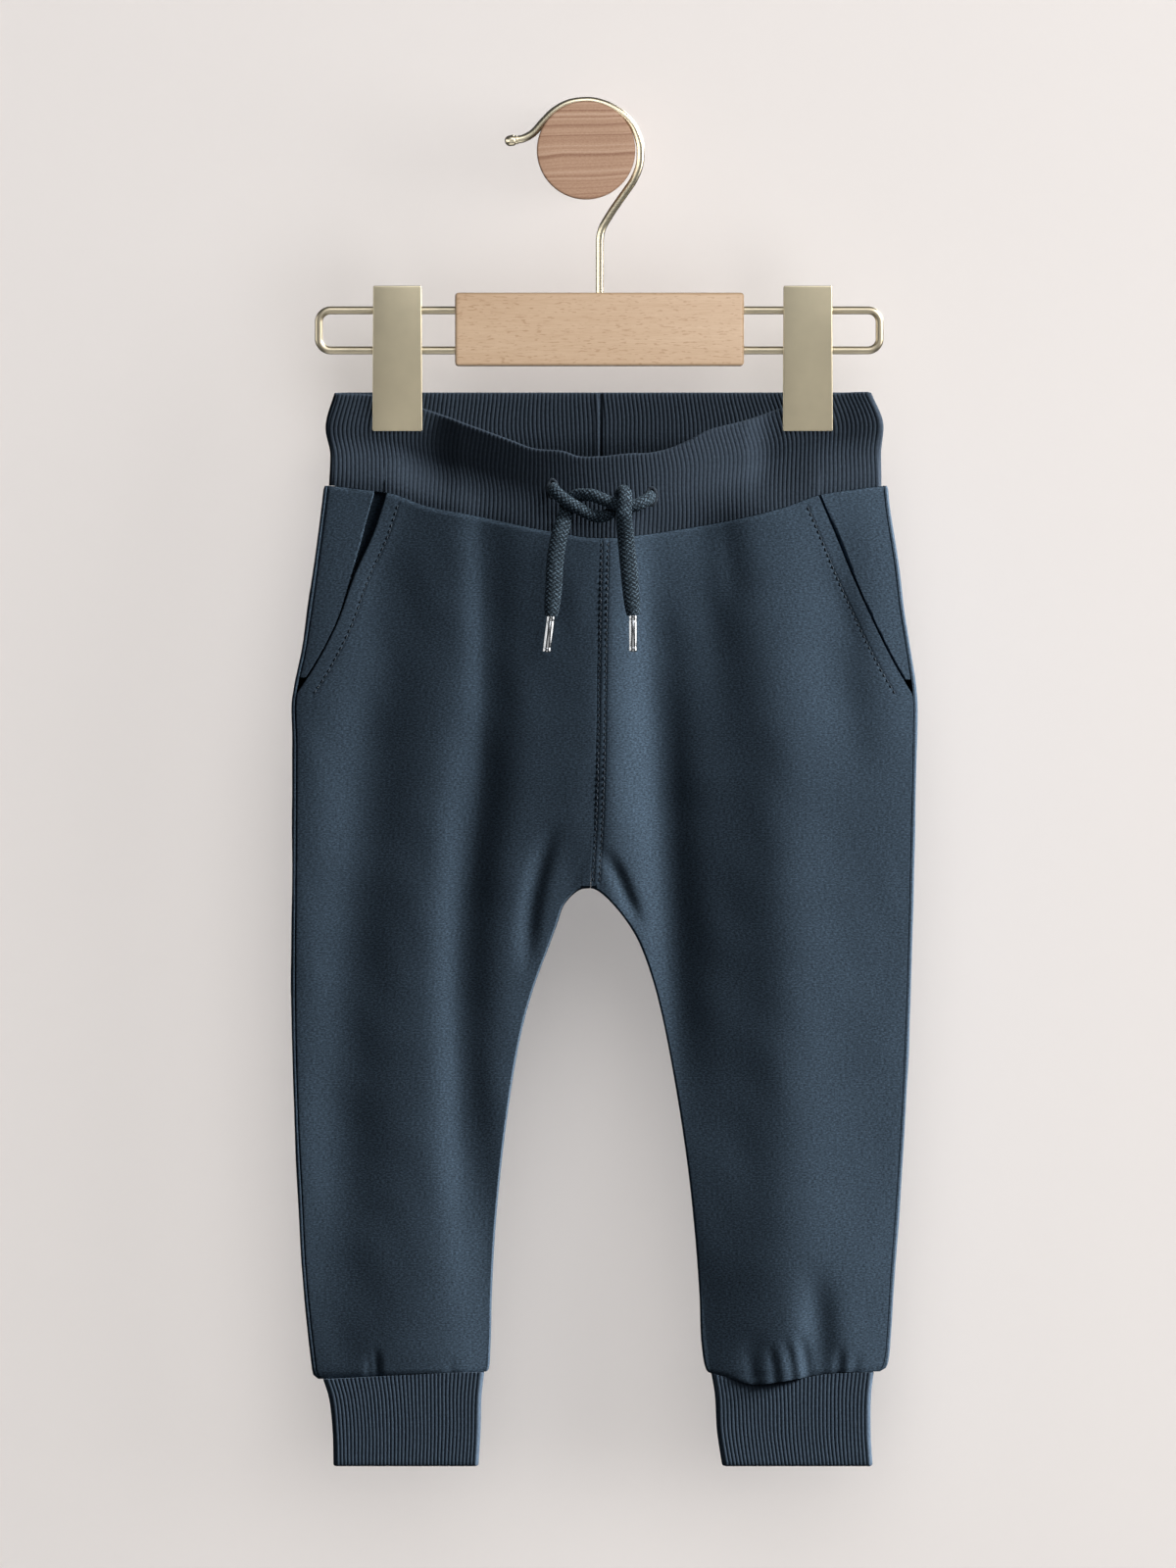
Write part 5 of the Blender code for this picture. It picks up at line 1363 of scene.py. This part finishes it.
# Name, direction to the right and up in degrees, distance and size in metres, level, tint, the
# group that it lights and the group that throws its shadows
LAMPS = (
    # A low light rakes over the cloth; a higher one models the trims.
    ("rake", 79, 25, 4.0, 1.2, 3.8, "warm", "cloths", "cloths"),
    ("cloth_fill", 50, 30, 4.0, 1.6, 0.16, "soft", "cloths", "pieces"),
    ("band_fill", 35, 30, 4.0, 1.6, 0.22, "soft", "band", "pieces"),
    ("key", 64, 34, 4.0, 1.4, 1.8, "warm", "trims", "pieces"),
    ("front", 5, 32, 3.6, 2.4, 0.2, "cool", "trims", "pieces"),
    ("wood_front", 24, 14, 4.0, 2.4, 0.93, "soft", "woods", "pieces"),
    ("rear", 118, 28, 4.0, 2.0, 1.7, "soft", "cloths", "pieces"),
    ("rear_trims", 150, 20, 4.0, 2.0, 0.6, "soft", "trims", "pieces"),
    ("rear_wood", 165, 0, 4.0, 2.0, 0.35, "soft", "woods", "pieces"),
    # The wall's soft shadows: below the crotch and block, round the hanger, left of all of it,
    # and from each leg into the gap between them
    ("wall_high", 10, 48, 7.0, 5.4, 0.28, "wall", "walls", "upper"),
    ("wall_front", 4, 38, 4.0, 4.0, 0.18, "wall", "walls", "upper"),
    ("wall_hanger_low", 34, -16, 4.0, 2.8, 0.22, "wall", "walls", "hanger"),
    ("wall_hanger_high", 20, 22, 4.0, 2.8, 0.13, "wall", "walls", "hanger"),
    ("wall_graze", 72, 8, 4.0, 2.6, 0.28, "wall", "walls", "solid"),
    ("wall_gap_right", -62, 0, 4.0, 2.6, 0.18, "wall", "walls", "leg_right"),
    ("wall_gap_left", 62, 0, 4.0, 2.6, 0.2, "wall", "walls", "leg_left"),
    ("wall_wash", 52, 6, 3.0, 1.6, 0.15, "wall", "walls", "walls"),
    # What the metal reflects
    ("card_hook", -38, 0, 4.0, 3.0, 0.3, "hook", "hooks", "hooks"),
    ("card_low", 0, -20, 4.0, 3.0, 0.08, "card", "metals", "metals"),
    ("card_left", -80, 5, 4.0, 3.0, 0.25, "card", "metals", "metals"),
    ("card_right", 80, 5, 4.0, 3.0, 0.5, "card", "metals", "metals"),
    ("card_top", 0, 52, 4.0, 3.0, 0.09, "card", "metals", "metals"),
    ("card_under", 0, -78, 4.0, 3.0, 0.16, "card", "metals", "metals"),
)


def lamp(name, side, high, far, size, level, colour, lit, casting):
    """A round soft lamp. level is how bright it makes a white surface that faces it."""
    a, e = math.radians(side), math.radians(high)
    toward = Vector((math.cos(e) * math.sin(a), -math.cos(e) * math.cos(a), math.sin(e)))
    made = bpy.data.lights.new(name, "AREA")
    made.shape, made.size, made.color = "DISK", size, colour
    made.energy = level * math.pi**2 * (far**2 + size**2 / 4)
    obj = bpy.data.objects.new(name, made)
    obj.location = Vector((0, MID_Y * MM, -0.29)) + toward * far
    obj.rotation_euler = toward.to_track_quat("Z", "Y").to_euler()
    bpy.context.scene.collection.objects.link(obj)
    obj.light_linking.receiver_collection = lit
    obj.light_linking.blocker_collection = casting


def sheet_of_room(name, corners, finish):
    mesh = bpy.data.meshes.new(name)
    mesh.from_pydata(corners, [], [(0, 1, 2, 3)])
    mesh.materials.append(finish)
    obj = bpy.data.objects.new(name, mesh)
    bpy.context.scene.collection.objects.link(obj)
    return obj


def groups():
    """The collections of pieces that lamps light or take shadows from, by name."""
    pieces = [obj for obj in bpy.context.scene.objects if obj.type == "MESH"]
    woods, cuffs = ("peg", "block"), ("cuff_rib_right", "cuff_rib_left")

    def cloth(name):
        return "panel" in name or "rib" in name or name == "stitching"

    tests = {
        "cloths": cloth,
        "trims": lambda name: not cloth(name) and name not in woods,
        "metals": lambda name: name.startswith(("clip", "spring", "wire", "hook", "cord_end")),
        "band": lambda name: name == "waistband_rib",
        "woods": lambda name: name in woods,
        "hooks": lambda name: name == "hook",
        "solid": lambda name: name != "hook",
        "upper": lambda name: name not in ("peg", "hook", *cuffs),
        "hanger": lambda name: name.startswith(("clip", "spring", "wire", "block")),
        "leg_right": lambda name: name.endswith(("panel_right", "rib_right")),
        "leg_left": lambda name: name.endswith(("panel_left", "rib_left")),
        "pieces": lambda name: True,
    }
    return {name: collection(name, [obj for obj in pieces if test(obj.name)]) for name, test in tests.items()}


def collection(name, objects):
    made = bpy.data.collections.new(name)
    for obj in objects:
        made.objects.link(obj)
    return made


def wall_paint():
    """Plain paint that shows its face to the room alone, and is clear from behind."""
    paint = Paint("wall_paint", Specular_IOR_Level=0.0, Roughness=1.0)
    cloud = paint.noise(paint.place((2, 2, 2)), 1.0)
    paint.finish(paint.ramp(cloud, ((0.3, (0.79, 0.755, 0.735)), (0.7, (0.8, 0.765, 0.745)))))
    clear = paint.node("BsdfTransparent")
    behind = paint.node("NewGeometry").outputs["Backfacing"]
    both = paint.node("MixShader", {0: behind, 1: paint.shader.outputs[0], 2: clear.outputs[0]})
    paint.put(paint.tree.nodes["Material Output"].inputs["Surface"], both.outputs[0])
    return paint.mat


def room():
    lit = groups()
    far, low, high, y = ROOM_FAR, ROOM_LOW, ROOM_HIGH, 0.0005
    floor = sheet_of_room("floor", [(-far, -far, low), (far, -far, low), (far, far, low), (-far, far, low)],
                          plain("floor_paint", (0.78, 0.74, 0.72)))
    # The wall is right behind the peg and takes the soft shadows.
    back = sheet_of_room("wall", [(-far, y, low), (far, y, low), (far, y, high), (-far, y, high)],
                         wall_paint())
    back.visible_transmission = back.visible_shadow = False
    for part in (floor, back):
        part.visible_diffuse = part.visible_glossy = False
    lit["walls"] = collection("walls", [floor, back])
    world = bpy.data.worlds.new("room")
    bpy.context.scene.world = world
    world.use_nodes = True
    background = world.node_tree.nodes["Background"]
    background.inputs["Color"].default_value = (0.93, 0.95, 1.0, 1)
    background.inputs["Strength"].default_value = 0.05
    for *values, tint, receivers, blockers in LAMPS:
        lamp(*values, TINTS[tint], lit[receivers], lit[blockers])
    bpy.context.scene.view_settings.view_transform = "Standard"


def main():
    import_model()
    camera()
    mat = {
        "cloth": jersey("jersey", (0.036, 0.057, 0.083)),
        # The cuffs and the waistband are one rib knit: the cuffs' lighter copy is painted light and the
        # band's darker copy is painted shade.
        "rib": rib_knit("cuff_knit", (0.049, 0.073, 0.105)),
        "band": rib_knit("band_knit", (0.0195, 0.0285, 0.0412)),
        "cord": braid("cord_braid", (0.021, 0.037, 0.053), (0.125, 0.185, 0.24)),
        # The thread is darker than the cloth: partly its own tonal navy, partly painted shade for the
        # shadowed dashes along the stitching.
        "thread": yarn("sewing_thread", (0.026, 0.036, 0.05), (0.06, 0.08, 0.1)),
        "tip": plated("tip_metal", (0.5, 0.52, 0.54), 0.14),
        "metal": plated("champagne_wire", (0.78, 0.70, 0.52), 0.22),
        # The end loops are the same plated wire as the hook in a darker, rougher copy: the darker colour is
        # painted shade.
        "wire": plated("champagne_loop", (0.62, 0.545, 0.40), 0.33),
        "plate": plated("champagne_plate", (0.68, 0.605, 0.435), 0.36, (60, 60, 4000)),
        "beech": beech(),
        "peg": peg_wood(),
    }
    drawstring(mat)
    garment(mat)
    hook(mat)
    end_wires(mat)
    block(mat)
    for side, centre in CLIPS.items():
        clip(side, centre, mat)
    wall_peg(mat)
    room()


main()
